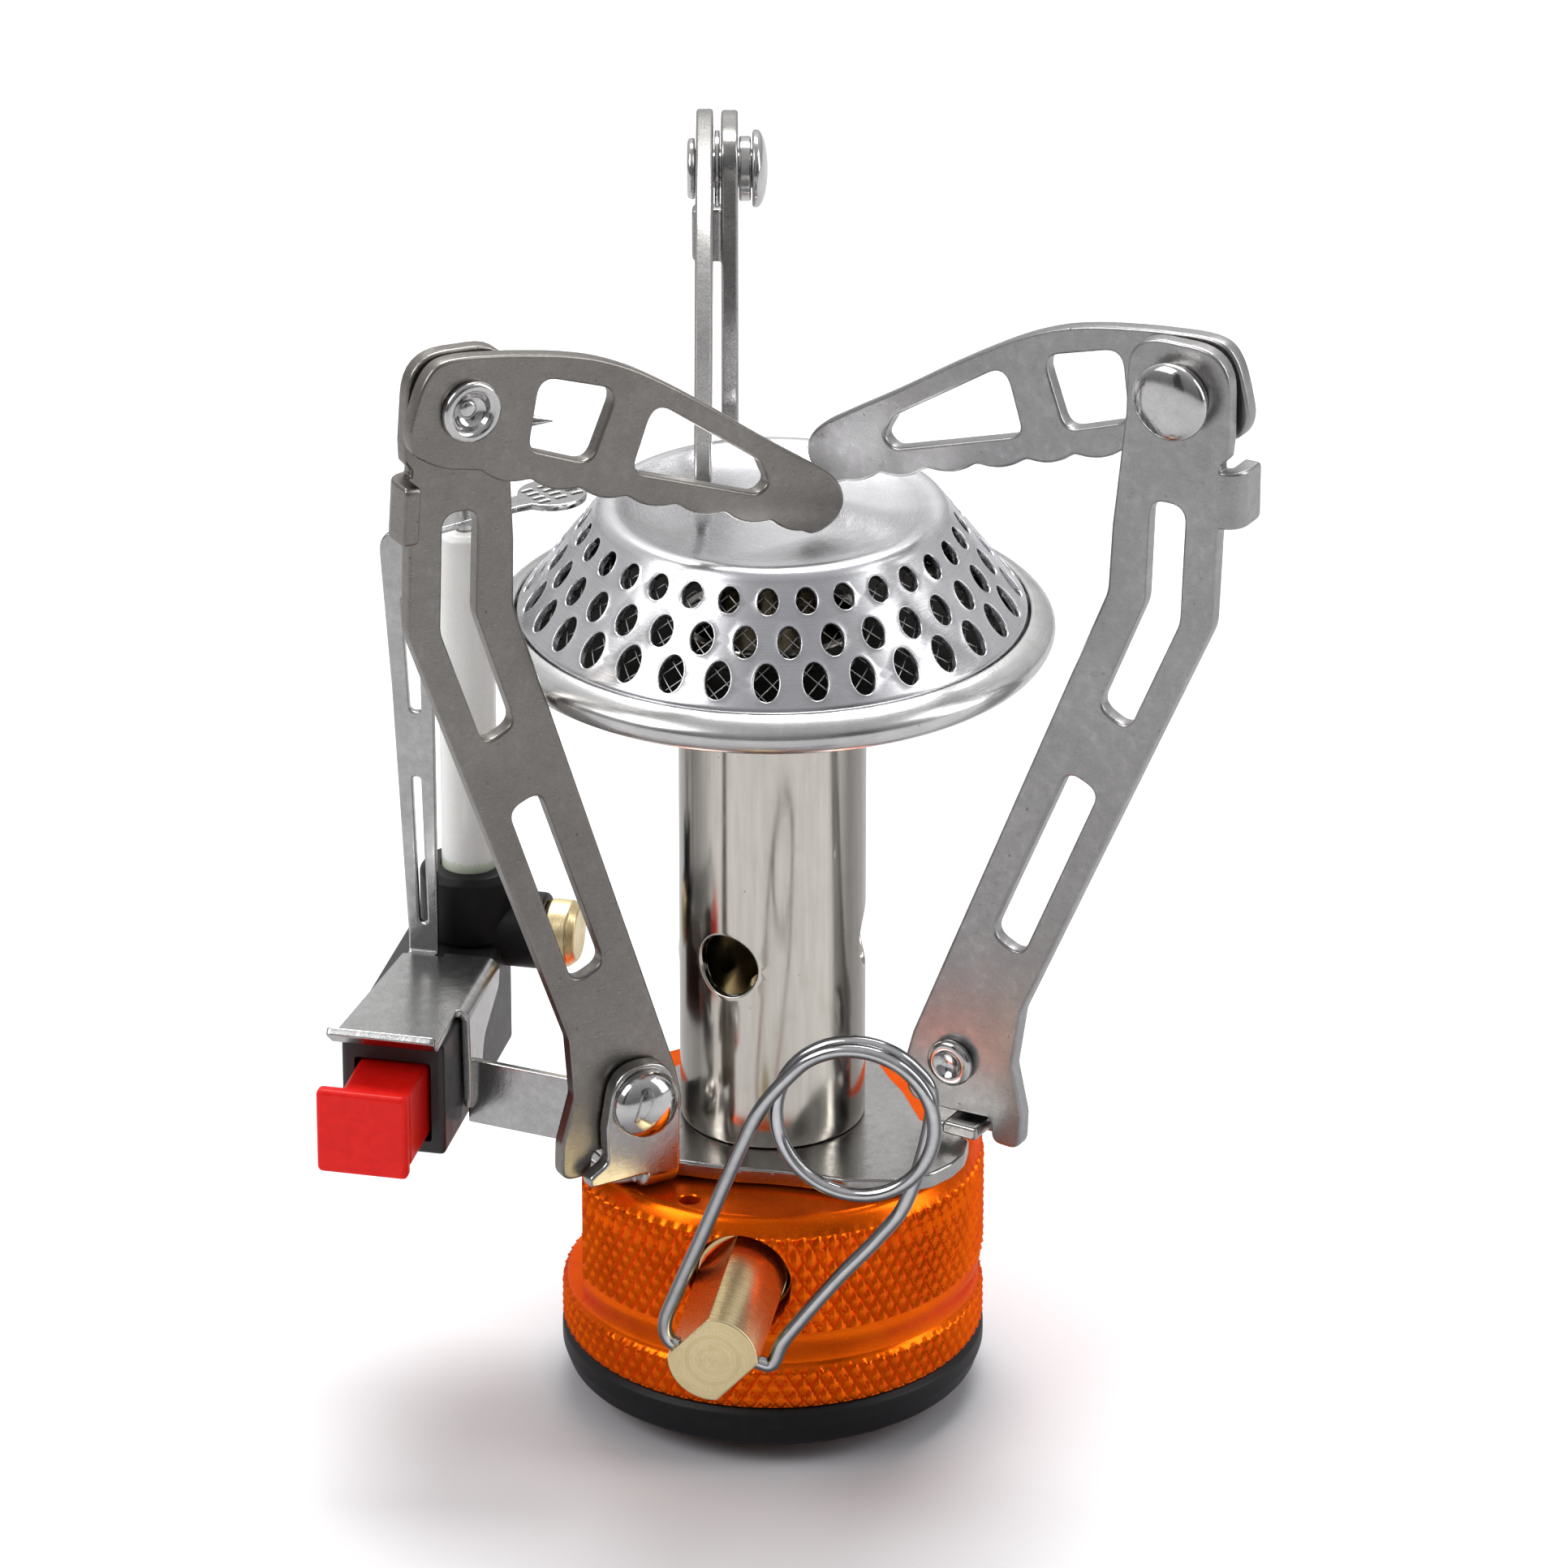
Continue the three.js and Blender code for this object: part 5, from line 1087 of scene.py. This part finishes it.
dome = lambda R, h, n=9: [(R * math.cos(math.pi / 2 * k / n), h * math.sin(math.pi / 2 * k / n)) for k in range(n + 1)]
def low_rivet():
    # dome outside the ear, hollow rolled end inside the leg; profile is (radius, t)
    d = [(r, 5.30 + h) for r, h in dome(2.5, 1.45, 10)]
    inner = [(0, 1.92), (0.62, 1.9), (0.86, 1.72), (1.02, 1.55), (1.22, 1.5), (1.5, 1.56), (1.70, 1.72), (1.76, 1.92), (1.70, 2.1), (1.5, 2.22), (1.26, 2.3), (1.2, 2.34)]
    P = inner + [(1.2, 5.0), (1.22, 5.06), (2.40, 5.06), (2.48, 5.12)] + d[:]
    return lathe(P, 48)
def up_rivet():
    head = [(0, 0.3)] + [(2.75 * math.sin(math.pi / 2 * k / 10), 0.3 + 0.78 * (1 - math.cos(math.pi / 2 * k / 10))) for k in range(1, 11)]
    P = head + [(2.77, 1.2), (2.72, 1.34), (2.62, 1.4), (2.5, 1.4), (1.42, 1.4), (1.35, 1.46), (1.35, 5.38), (1.4, 5.42), (2.08, 5.44), (2.16, 5.52), (2.17, 5.72), (2.08, 5.9), (1.9, 5.99), (1.68, 5.98), (1.5, 5.9), (1.36, 5.72), (1.22, 5.45), (1.02, 5.2), (0.7, 5.08), (0.6, 5.2), (0.42, 5.3), (0, 5.32)]
    return lathe(P, 56)
def ringp(ri, ro, t0, t1, q=.12):
    return lathe(prof([(ri, t0, q * .6), (ro, t0, q), (ro, t1, q), (ri, t1, q * .6)], True), 56, True)
FLIP = np.diag([1.0, 1.0, -1.0, 1.0])         # profile height is t, local z is minus t
LR, UR = low_rivet(), up_rivet()
# each leg and its arm take the copy of the steel painted lighter or darker for how light falls on that leg
leg_mat = ["tumbled_right_lit", "tumbled_left_shaded", "tumbled_back_lit"]
for i, az in enumerate(LEG_AZ):
    n = i + 1
    er, et = frame_of(az)
    L = basis(er, (0, 0, 1), -et)
    low_m = L @ T(LP_R, LP_Z, 0)
    swing = low_m @ RZ(LEG_IN[i])
    top_m = swing @ T(UP_R - LP_R, UP_Z - LP_Z, 0)
    lb, ab = f"support_leg_{n}", f"pot_arm_{n}"
    piece(f"pivot_rivet_{n}", moved(LR, low_m @ FLIP), BASE, [f"lower_rivet_{n}"], "rivet_polish", sharp=50)
    piece(f"support_leg_sheet_{n}", moved(leg_part, swing), lb, [f"leg_{n}"], [leg_mat[i], "cut_edge"])
    piece(f"arm_rivet_{n}", moved(UR, top_m @ FLIP), lb, [f"upper_rivet_{n}"], "rivet_polish", sharp=50)
    piece(f"arm_collar_{n}", moved(ringp(1.42, 2.3, 1.48, 2.34, .18), top_m @ FLIP), lb, [f"collar_{n}"], "rivet_polish", sharp=50)
    piece(f"arm_washer_{n}", moved(ringp(1.47, 2.7, 3.69, 4.05, .1), top_m @ FLIP), lb, [f"washer_{n}"], "rivet_polish", sharp=50)
    piece(f"pot_arm_sheet_{n}", moved(arm_part, top_m), ab, [f"arm_{n}"], [leg_mat[i], "cut_edge"])

# ------------------------------------------------------------------ needle valve and wire handle
SP_R, SP_F, SP_D, SP_END = 3.15, 2.35, 137.0, 25.9
stem = lathe(prof([(0, 1.4), (0.5, 2.4, .1), (0.75, 6.2, .2), (1.6, 6.4, .1), (1.6, 7.0, .1), (2.3, 7.2, .1), (2.3, 9.6, .1), (3.1, 10.2, .08), (3.1, 10.7, .04), (2.35, 10.75, .04), (2.35, 12.15, .04), (3.1, 12.2, .04), (3.13, 12.9, .05), (3.13, 13.3, .03), (0, 13.3)]), 96)
tc_ = math.acos(SP_F / SP_R)
dd = []
for s in (0, 180):
    c0 = rad(SP_D + s)
    dd.append((SP_R * math.cos(c0 - tc_), SP_R * math.sin(c0 - tc_), .10))
    dd.append((SP_R * math.cos(c0 + tc_), SP_R * math.sin(c0 + tc_), .10))
    a0_, a1_ = c0 + tc_, c0 + math.pi - tc_
    for k in range(1, 20):
        x = a0_ + (a1_ - a0_) * k / 20
        dd.append((SP_R * math.cos(x), SP_R * math.sin(x)))
ddo = fillet(dd, 4, True, 0)
nob = sheet(ddo, [], 13.0, SP_END, r=.13, r0=.05, n=3)
nob = (nob[0], nob[1], [0] * len(nob[2]))
sp = plus(stem, nob)
hd = np.array([math.cos(rad(-9.5)), math.sin(rad(-9.5)), 0])
sp = minus(sp, moved(lathe([(0, -5), (0.72, -5), (0.72, 5), (0, 5)], 32), T(0, 0, HINGE_R) @ along((0, 0, 0), hd)))
sp.data.transform(Matrix([list(r) for r in SPM]))
piece("spindle", sp, "valve_spindle", ["valve_spindle"], "brass_spindle", sharp=32)
orr = lathe([(2.83 + .42 * math.cos(x), 11.45 + .56 * math.sin(x)) for x in np.arange(20) * math.pi / 10], 56, True)
piece("spindle_seal_ring", moved(orr, SPM), "valve_spindle", ["spindle_o_ring"], "black_rubber", sharp=60)

e = lambda k, n=0.0: (hd[0] * k, hd[1] * k, HINGE_R + n)
q = lambda x, y, n=0.0: (x, y, HINGE_R + n)
wp = [e(-0.95), e(-2.1), e(-3.0), q(-3.4, 1.1), q(-3.45, 2.2, .05), q(-2.79, 4.13, .15), q(-0.79, 9.23, .45), q(1.93, 16.3, .82), q(3.3, 19.4, .88)]
a, k = 146, 0
while a >= 146 - 540 + 38:
    wp.append(q(9.7 + 5.5 * math.cos(rad(a)), 18.85 + 5.5 * math.sin(rad(a)), 0.9 - 1.25 * min(1, max(0, (146 - a - 215) / 140))))
    a -= 22
wp += [q(13.1, 12.5, -.35), q(11.27, 9.72, -.3), q(8.66, 6.59, -.2), q(6.04, 3.12, -.08), q(4.65, 1.1, -.02), e(3.9), e(2.9), e(0.95)]
piece("wire_bail", moved(sweep(smooth_open(wp, 8), 0.505, 20), SPM), "wire_handle", ["wire_handle"], "steel_wire", sharp=60)

# ------------------------------------------------------------------ piezo igniter
IGM = T(-26.5, -6.9, 0) @ RZ(-13)
Z0, Z1, Wd, CZ = 22.3, 30.9, 3.7, 26.2
XZ = basis((1, 0, 0), (0, 0, 1), (0, -1, 0))   # sheet in x-z, thickness along -y
def blockxz(x0, x1, z0, z1, y0, y1, rc, r, n=4):
    return moved(sheet(fillet([(x0, z0, rc), (x1, z0, rc), (x1, z1, rc), (x0, z1, rc)], 6), [], -y1, -y0, r=r, n=n), XZ)
ib = blockxz(-Wd, Wd, Z0, Z1, 0, 19.0, .45, .35)
ib = (ib[0], ib[1], [0] * len(ib[2]))
cav = blockxz(-2.75, 2.75, CZ - 2.9, CZ + 3.2, -1, 10.4, .3, .05)
cav = (cav[0], cav[1], [0] * len(cav[2]))
ib = minus(ib, cav)
ib.data.transform(Matrix([list(r) for r in IGM]))
piece("igniter_housing", ib, BASE, ["igniter_body"], "black_plastic", bevel=.10)
b1 = blockxz(-4.1, 2.4, CZ - 3.3, CZ + 3.05, -5.4, -4.3, .45, .34, 5)
b2 = blockxz(-2.45, 2.45, CZ - 2.6, CZ + 2.9, -4.6, 6.0, .35, .3, 4)
b1 = (b1[0], b1[1], [0] * len(b1[2])); b2 = (b2[0], b2[1], [0] * len(b2[2]))
bt = plus(b1, b2)
bt = minus(bt, moved(lathe([(0, 1.0), (1.75, 1.0), (1.75, 7), (0, 7)], 40), T(0, 0, CZ + .1) @ basis((1, 0, 0), (0, 0, -1), (0, 1, 0))))
bt.data.transform(Matrix([list(r) for r in IGM]))
piece("igniter_push_button", bt, "igniter_button", ["igniter_button"], "red_plastic")
spr = [(1.3 * math.cos(2 * math.pi * k / 16), 4.95 + 5.1 * k / 64, CZ + .1 + 1.3 * math.sin(2 * math.pi * k / 16)) for k in range(65)]
piece("button_return_spring", moved(sweep(spr, 0.2, 10), IGM), BASE, ["button_spring"], "steel_wire", sharp=60)

# bent sheet holder
S, R0z = 0.6, Z1 + 0.1
ML = 18.458                                   # mast height is v + ML
roof = [(-4.1, -2.9, .35), (3.8, -2.9, .35), (3.62, -1.0, .3), (3.5, 4.3, .3), (11.66, 4.7, 1.0), (11.66, 7.1, 1.3), (7.56, 8.4, 2.0), (5.6, 12.6, .8), (4.3, 13.0, .3), (0.4, 13.0, .25), (0.4, 12.35, .1), (-0.1, 12.35, .08),
        (-0.1, 46 - ML, 0), (-0.1, 63.85 - ML, .35), (-3.9, 63.85 - ML, 1.6), (-3.1, 52 - ML, 6), (-2.2, 14.5, 1.0), (-2.2, 12.35, .08), (-2.55, 12.35, .2)]
ms1 = [(-1.4, 33.8 - ML, .3), (-0.8, 33.8 - ML, .3), (-1.1, 45.2 - ML, .3), (-1.75, 45.2 - ML, .3)]
ms2 = [(-1.85, 50.2 - ML, .4), (-1.0, 50.2 - ML, .4), (-1.1, 59.0 - ML, .4), (-2.3, 59.0 - ML, .4)]
PH0 = 0.75
def bend_roof(u, v, h):
    X, Y, Zz = u.astype(float).copy(), v.astype(float).copy(), h.astype(float).copy()
    m = v < -0.9                               # lip
    rho = 32.1 - h
    ph = np.clip((-0.9 - v) / 0.8, 0, PH0)
    s = np.maximum(-0.9 - v - 0.8 * PH0, 0)
    Y = np.where(m, -0.9 - rho * np.sin(ph) - s * math.cos(PH0), Y)
    Zz = np.where(m, 32.1 - rho * np.cos(ph) + s * math.sin(PH0), Zz)
    m = (u > 3.52) & (v > 4.0)                 # cheek
    rho = h - 30.7
    ph = np.clip((u - 3.52) / 0.6, 0, math.pi / 2)
    s = np.maximum(u - 3.52 - 0.6 * math.pi / 2, 0)
    X = np.where(m, 3.52 + rho * np.sin(ph), X)
    Zz = np.where(m, 30.7 + rho * np.cos(ph) - s, Zz)
    m = (v > 12.5) & (u < 0.1)                 # mast
    rho = 31.9 - h
    ph = np.clip((v - 12.5) / 0.6, 0, math.pi / 2)
    s = np.maximum(v - 12.5 - 0.6 * math.pi / 2, 0)
    Y = np.where(m, 12.5 + rho * np.sin(ph), Y)
    Zz = np.where(m, 31.9 - rho * np.cos(ph) + s, Zz)
    return np.column_stack([X, Y, Zz])
lv = [(np.array([0.0, -0.9 - 0.8 * PH0 * k / 4]), (0, 1), -5, 5) for k in range(5)]
lv += [(np.array([3.52 + 0.6 * math.pi / 2 * k / 5, 8.5]), (1, 0), -4.6, 4.9) for k in range(6)]
lv += [(np.array([-1.15, 12.5 + 0.6 * math.pi / 2 * k / 5]), (0, 1), -1.08, 1.08) for k in range(6)]
hold = raw(sheet(fillet(roof, 7), [fillet(ms1, 5), fillet(ms2, 5)], R0z, R0z + S, r=.12, n=3, levels=lv, fmap=bend_roof))
def to_local(x, y):
    v = np.linalg.inv(IGM) @ np.array([x, y, 0, 1.0])
    return v[0], v[1]
def strip(p0, p1, w):
    d = unit(np.array(p1) - np.array(p0))
    nn = np.array([-d[1], d[0]]) * w / 2
    return [(*(np.array(p0) + nn), .12), (*(np.array(p1) + nn), .12), (*(np.array(p1) - nn), .12), (*(np.array(p0) - nn), .12)]
A, B, C = (Wd + .35, 5.6), to_local(-12.3, -6.3), to_local(-8.9, -4.7)
frv = to_local(-10.4, -5.4)
hold = plus(hold, sheet(fillet(strip(A, B, S), 3), [], 22.4, 27.3, r=.1, n=2))
foot = strip(to_local(-12.5, -6.4), C, 3.0)
foot = [(x, y, .5) for x, y, _ in foot]
hold = plus(hold, sheet(fillet(foot, 5), [circle(frv[0], frv[1], .85, 24)], 22.23, 22.93, r=.12, n=2))
tip, root = np.array(to_local(-15.4, 12.3)), np.array([-1.1, 13.0])
d_ = unit(tip - root)
Lq = np.linalg.norm(tip - root)
qq = lambda a, b: (root[0] + d_[0] * a - d_[1] * b, root[1] + d_[1] * a + d_[0] * b)
ov = [(*qq(Lq + 2.5 * math.cos(t), 2.35 * math.sin(t)), 0) for t in np.linspace(rad(-156), rad(156), 33)]
ton = [(*qq(-0.25, 1.0), .2), (*qq(-0.25, -1.0), .2), (*qq(Lq - 3.4, -0.8), .6)] + ov + [(*qq(Lq - 3.4, 0.8), .6)]
hs = []
for u in (-1.35, 0, 1.35):
    for w in (-1.1, -0.35, 0.4, 1.15):
        hs.append(fillet([(*qq(Lq + u - .45, w - .18), .15), (*qq(Lq + u - .45, w + .18), .15), (*qq(Lq + u + .45, w + .18), .15), (*qq(Lq + u + .45, w - .18), .15)], 3))
leaf = sheet(fillet(ton, 5), hs, 63.72, 64.22, r=.09, n=2)
hold = plus(hold, leaf)
hold.data.transform(Matrix([list(r) for r in IGM]))
piece("igniter_holder", hold, BASE, ["igniter_bracket"], ["holder_steel", "cut_edge"])
rv = lathe([(0, 22.19), (0.75, 22.19), (0.75, 23.0), (1.46, 23.02), (1.5, 23.08)] + [(1.5 * math.cos(x), 23.1 + .72 * math.sin(x)) for x in np.linspace(0.05, math.pi / 2 - .02, 9)] + [(0, 23.82)], 40)
piece("holder_rivet", moved(rv, IGM @ T(frv[0], frv[1], 0)), BASE, ["bracket_rivet"], "rivet_polish", sharp=50)

E = to_local(-21.5, 11.0)
sideZ, ST = 31.3, 62.0
boot = moved(lathe(prof([(0, Z1 + .1), (3.5, Z1 + .1, .25), (3.6, Z1 + .4, .2), (3.6, 35.7, .45), (3.1, 36.2, .3), (2.1, 36.2, .08), (2.1, 33.1, .05), (0, 33.1)]), 72), T(E[0], E[1], 0))
out_m = T(E[0], E[1], sideZ) @ basis((0, 1, 0), (0, 0, 1), (1, 0, 0))
side = moved(lathe(prof([(0, .9 + 1.2), (2.75, .9 + 1.2, .1), (2.75, 5.6, .4), (1.3, 5.6, .1), (1.3, 4.6), (0, 4.6)]), 56), out_m)
boot = plus(boot, side)
boot = minus(boot, moved(lathe([(0, 33.1), (2.1, 33.1), (2.1, 37), (0, 37)], 48), T(E[0], E[1], 0)))
boot.data.transform(Matrix([list(r) for r in IGM]))
piece("electrode_base_boot", boot, BASE, ["electrode_boot"], "black_rubber", sharp=35)
cc = moved(lathe(prof([(0, 4.65), (1.2, 4.65, .1), (1.2, 5.66, .03), (2.2, 5.66, .15), (2.4, 6.0, .2), (2.4, 7.4, .35), (1.9, 8.0, .25), (0, 8.0)]), 56), out_m)
piece("igniter_contact_cap", moved(cc, IGM), BASE, ["contact_cap"], "brass_cap")
cer = lathe(prof([(0.66, 33.2, .03), (2.02, 33.2, .1), (2.02, ST - .35, .3), (1.5, ST, .25), (0.66, ST, .1)], True), 56, True)
piece("electrode_ceramic", moved(cer, IGM @ T(E[0], E[1], 0)), BASE, ["electrode_insulator"], "ceramic", sharp=40)
c_, s_ = math.cos(rad(-13)), -math.sin(rad(-13))
Pq = lambda u, z: (E[0] + c_ * u, E[1] + s_ * u, z)
PZ = 70.15
ep = smooth_open([Pq(0, 33.3), Pq(0, 45), Pq(0, 57), Pq(0, 66), Pq(0, 68.6), Pq(.35, 69.7), Pq(1.4, PZ), Pq(2.8, PZ), Pq(4.4, PZ), Pq(5.3, PZ), Pq(6.2, PZ)], 6)
end = np.array(Pq(6.2, PZ))
tp = np.array([0.52 if np.linalg.norm(x - end) > 1.8 else 0.08 + 0.44 * np.linalg.norm(x - end) / 1.8 for x in ep])
piece("electrode_wire_pin", moved(sweep(ep, .52, 16, taper=tp), IGM), BASE, ["electrode_pin"], "holder_steel", sharp=60)

# ------------------------------------------------------------------ stage, light, camera
FLOOR_Z = CAD_BOX[0][2]
me = bpy.data.meshes.new("studio_floor")
bm = bmesh.new()
n = 24
rowsv = []
for j in range(-n, n + 1):
    rowsv.append([bm.verts.new((i * 0.25, j * 0.25, FLOOR_Z)) for i in range(-n, n + 1)])
for a, b in zip(rowsv[:-1], rowsv[1:]):
    for i in range(2 * n):
        bm.faces.new((a[i], a[i + 1], b[i + 1], b[i]))
bm.to_mesh(me)
bm.free()
floor = bpy.data.objects.new("studio_floor", me)
bpy.context.scene.collection.objects.link(floor)
m = N("studio_paper")
f = m.noise(0.05, 3, 0.5)
lp = m.node("ShaderNodeLightPath")
paper = m.mix(f, (0.90, 0.90, 0.905), (0.885, 0.885, 0.89))
# painted reflection: the floor is darker where the metals reflect it than where the camera sees it
paper = m.mix(m.math("MULTIPLY", lp.outputs["Is Glossy Ray"], 0.9), paper, (0.42, 0.42, 0.43))
# painted shadow: a soft dark bluish patch round the foot of the stove
x, y, z = m.xyz()
rr = m.math("SQRT", m.math("ADD", m.math("POWER", m.math("SUBTRACT", x, 1.5), 2.0), m.math("POWER", m.math("ADD", y, 3.0), 2.0)))
shade = m.ramp(m.math("DIVIDE", rr, 60.0), (0.15, 0.62), (0.30, 0.34), (0.62, 0.0))
paper = m.mix(shade, paper, (0.30, 0.285, 0.32))
m.set(Base_Color=paper, Roughness=0.75, Specular_IOR_Level=0.2)
me.materials.append(MATS["studio_paper"])
floor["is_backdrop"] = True

world = bpy.data.worlds.new("studio")
bpy.context.scene.world = world
world.use_nodes = True
wt = world.node_tree
bg = wt.nodes["Background"]
geo = wt.nodes.new("ShaderNodeTexCoord")
sep = wt.nodes.new("ShaderNodeSeparateXYZ")
wt.links.new(geo.outputs["Generated"], sep.inputs[0])
ry = wt.nodes.new("ShaderNodeValToRGB")       # dark towards the camera side, bright behind
ry.color_ramp.elements[0].position, ry.color_ramp.elements[0].color = 0.0, (0.30, 0.30, 0.31, 1)
ry.color_ramp.elements[1].position, ry.color_ramp.elements[1].color = 1.0, (1.0, 1.0, 1.0, 1)
ev = ry.color_ramp.elements.new(0.45); ev.color = (0.42, 0.42, 0.43, 1)
mr = wt.nodes.new("ShaderNodeMapRange")
mr.inputs[1].default_value, mr.inputs[2].default_value = -1, 1
wt.links.new(sep.outputs[1], mr.inputs[0])
wt.links.new(mr.outputs[0], ry.inputs[0])
rz = wt.nodes.new("ShaderNodeMapRange")
rz.inputs[1].default_value, rz.inputs[2].default_value = 0.0, 0.9
rz.inputs[3].default_value, rz.inputs[4].default_value = 0.8, 1.7
wt.links.new(sep.outputs[2], rz.inputs[0])
mu = wt.nodes.new("ShaderNodeMix"); mu.data_type = "RGBA"; mu.blend_type = "MULTIPLY"
mu.inputs[0].default_value = 1.0
wt.links.new(ry.outputs[0], mu.inputs[6])
wt.links.new(rz.outputs[0], mu.inputs[7])
wt.links.new(mu.outputs[2], bg.inputs[0])
bg.inputs[1].default_value = 0.64

def area_light(name, loc, target, size, power, color=(1, 1, 1)):
    ld = bpy.data.lights.new(name, "AREA")
    ld.shape, ld.size, ld.size_y = "RECTANGLE", size[0], size[1]
    ld.energy, ld.color = power, color
    o = bpy.data.objects.new(name, ld)
    bpy.context.scene.collection.objects.link(o)
    o.location = loc
    o.rotation_mode = "QUATERNION"
    o.rotation_quaternion = (Vector(target) - Vector(loc)).to_track_quat("-Z", "Y")
    return o
MID = (0, 0, 0.045)
area_light("key_left", (-0.75, -0.35, 0.75), MID, (0.6, 0.6), 5.0)
area_light("fill_right", (0.85, -0.1, 0.45), MID, (0.35, 0.8), 3.2)
area_light("top_back", (0.05, 0.45, 0.95), MID, (0.7, 0.4), 9.5)

def flag(name, corners):
    """Dark card that only shows in reflections."""
    me = bpy.data.meshes.new(name)
    bm = bmesh.new()
    bm.faces.new([bm.verts.new(c) for c in corners])
    bm.to_mesh(me)
    bm.free()
    o = bpy.data.objects.new(name, me)
    bpy.context.scene.collection.objects.link(o)
    me.materials.append(MATS["flag_cloth"])
    o.visible_camera = False
    o.visible_diffuse = False
    o.visible_shadow = False
    o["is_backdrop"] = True
m = N("flag_cloth")
m.set(Base_Color=m.mix(m.noise(0.02), (0.02, 0.02, 0.022), (0.04, 0.04, 0.042)), Roughness=0.9)
flag("flag_left", [(-0.9, -0.9, 0.02), (-0.62, -1.0, 0.02), (-0.62, -1.0, 0.9), (-0.9, -0.9, 0.9)])
flag("flag_right", [(0.45, -1.0, 0.02), (0.75, -0.85, 0.02), (0.75, -0.85, 0.7), (0.45, -1.0, 0.7)])

D, PIT = 650.7681, rad(26.1797)
cam_d = bpy.data.cameras.new("camera")
cam = bpy.data.objects.new("camera", cam_d)
bpy.context.scene.collection.objects.link(cam)
cam.location = (0.0, -D * math.cos(PIT) * 0.001, (D * math.sin(PIT) + 32 - 2.2) * 0.001)
aim = Vector((0.0008, 0.0, 0.0432))
cam.rotation_mode = "QUATERNION"
cam.rotation_quaternion = (aim - cam.location).to_track_quat("-Z", "Y")
cam_d.sensor_width = 36.0
cam_d.lens = 213.0
cam_d.clip_start, cam_d.clip_end = 0.01, 50
bpy.context.scene.camera = cam
bpy.context.scene.view_settings.view_transform = "Standard"
bpy.context.scene.view_settings.look = "None"

lo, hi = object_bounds()
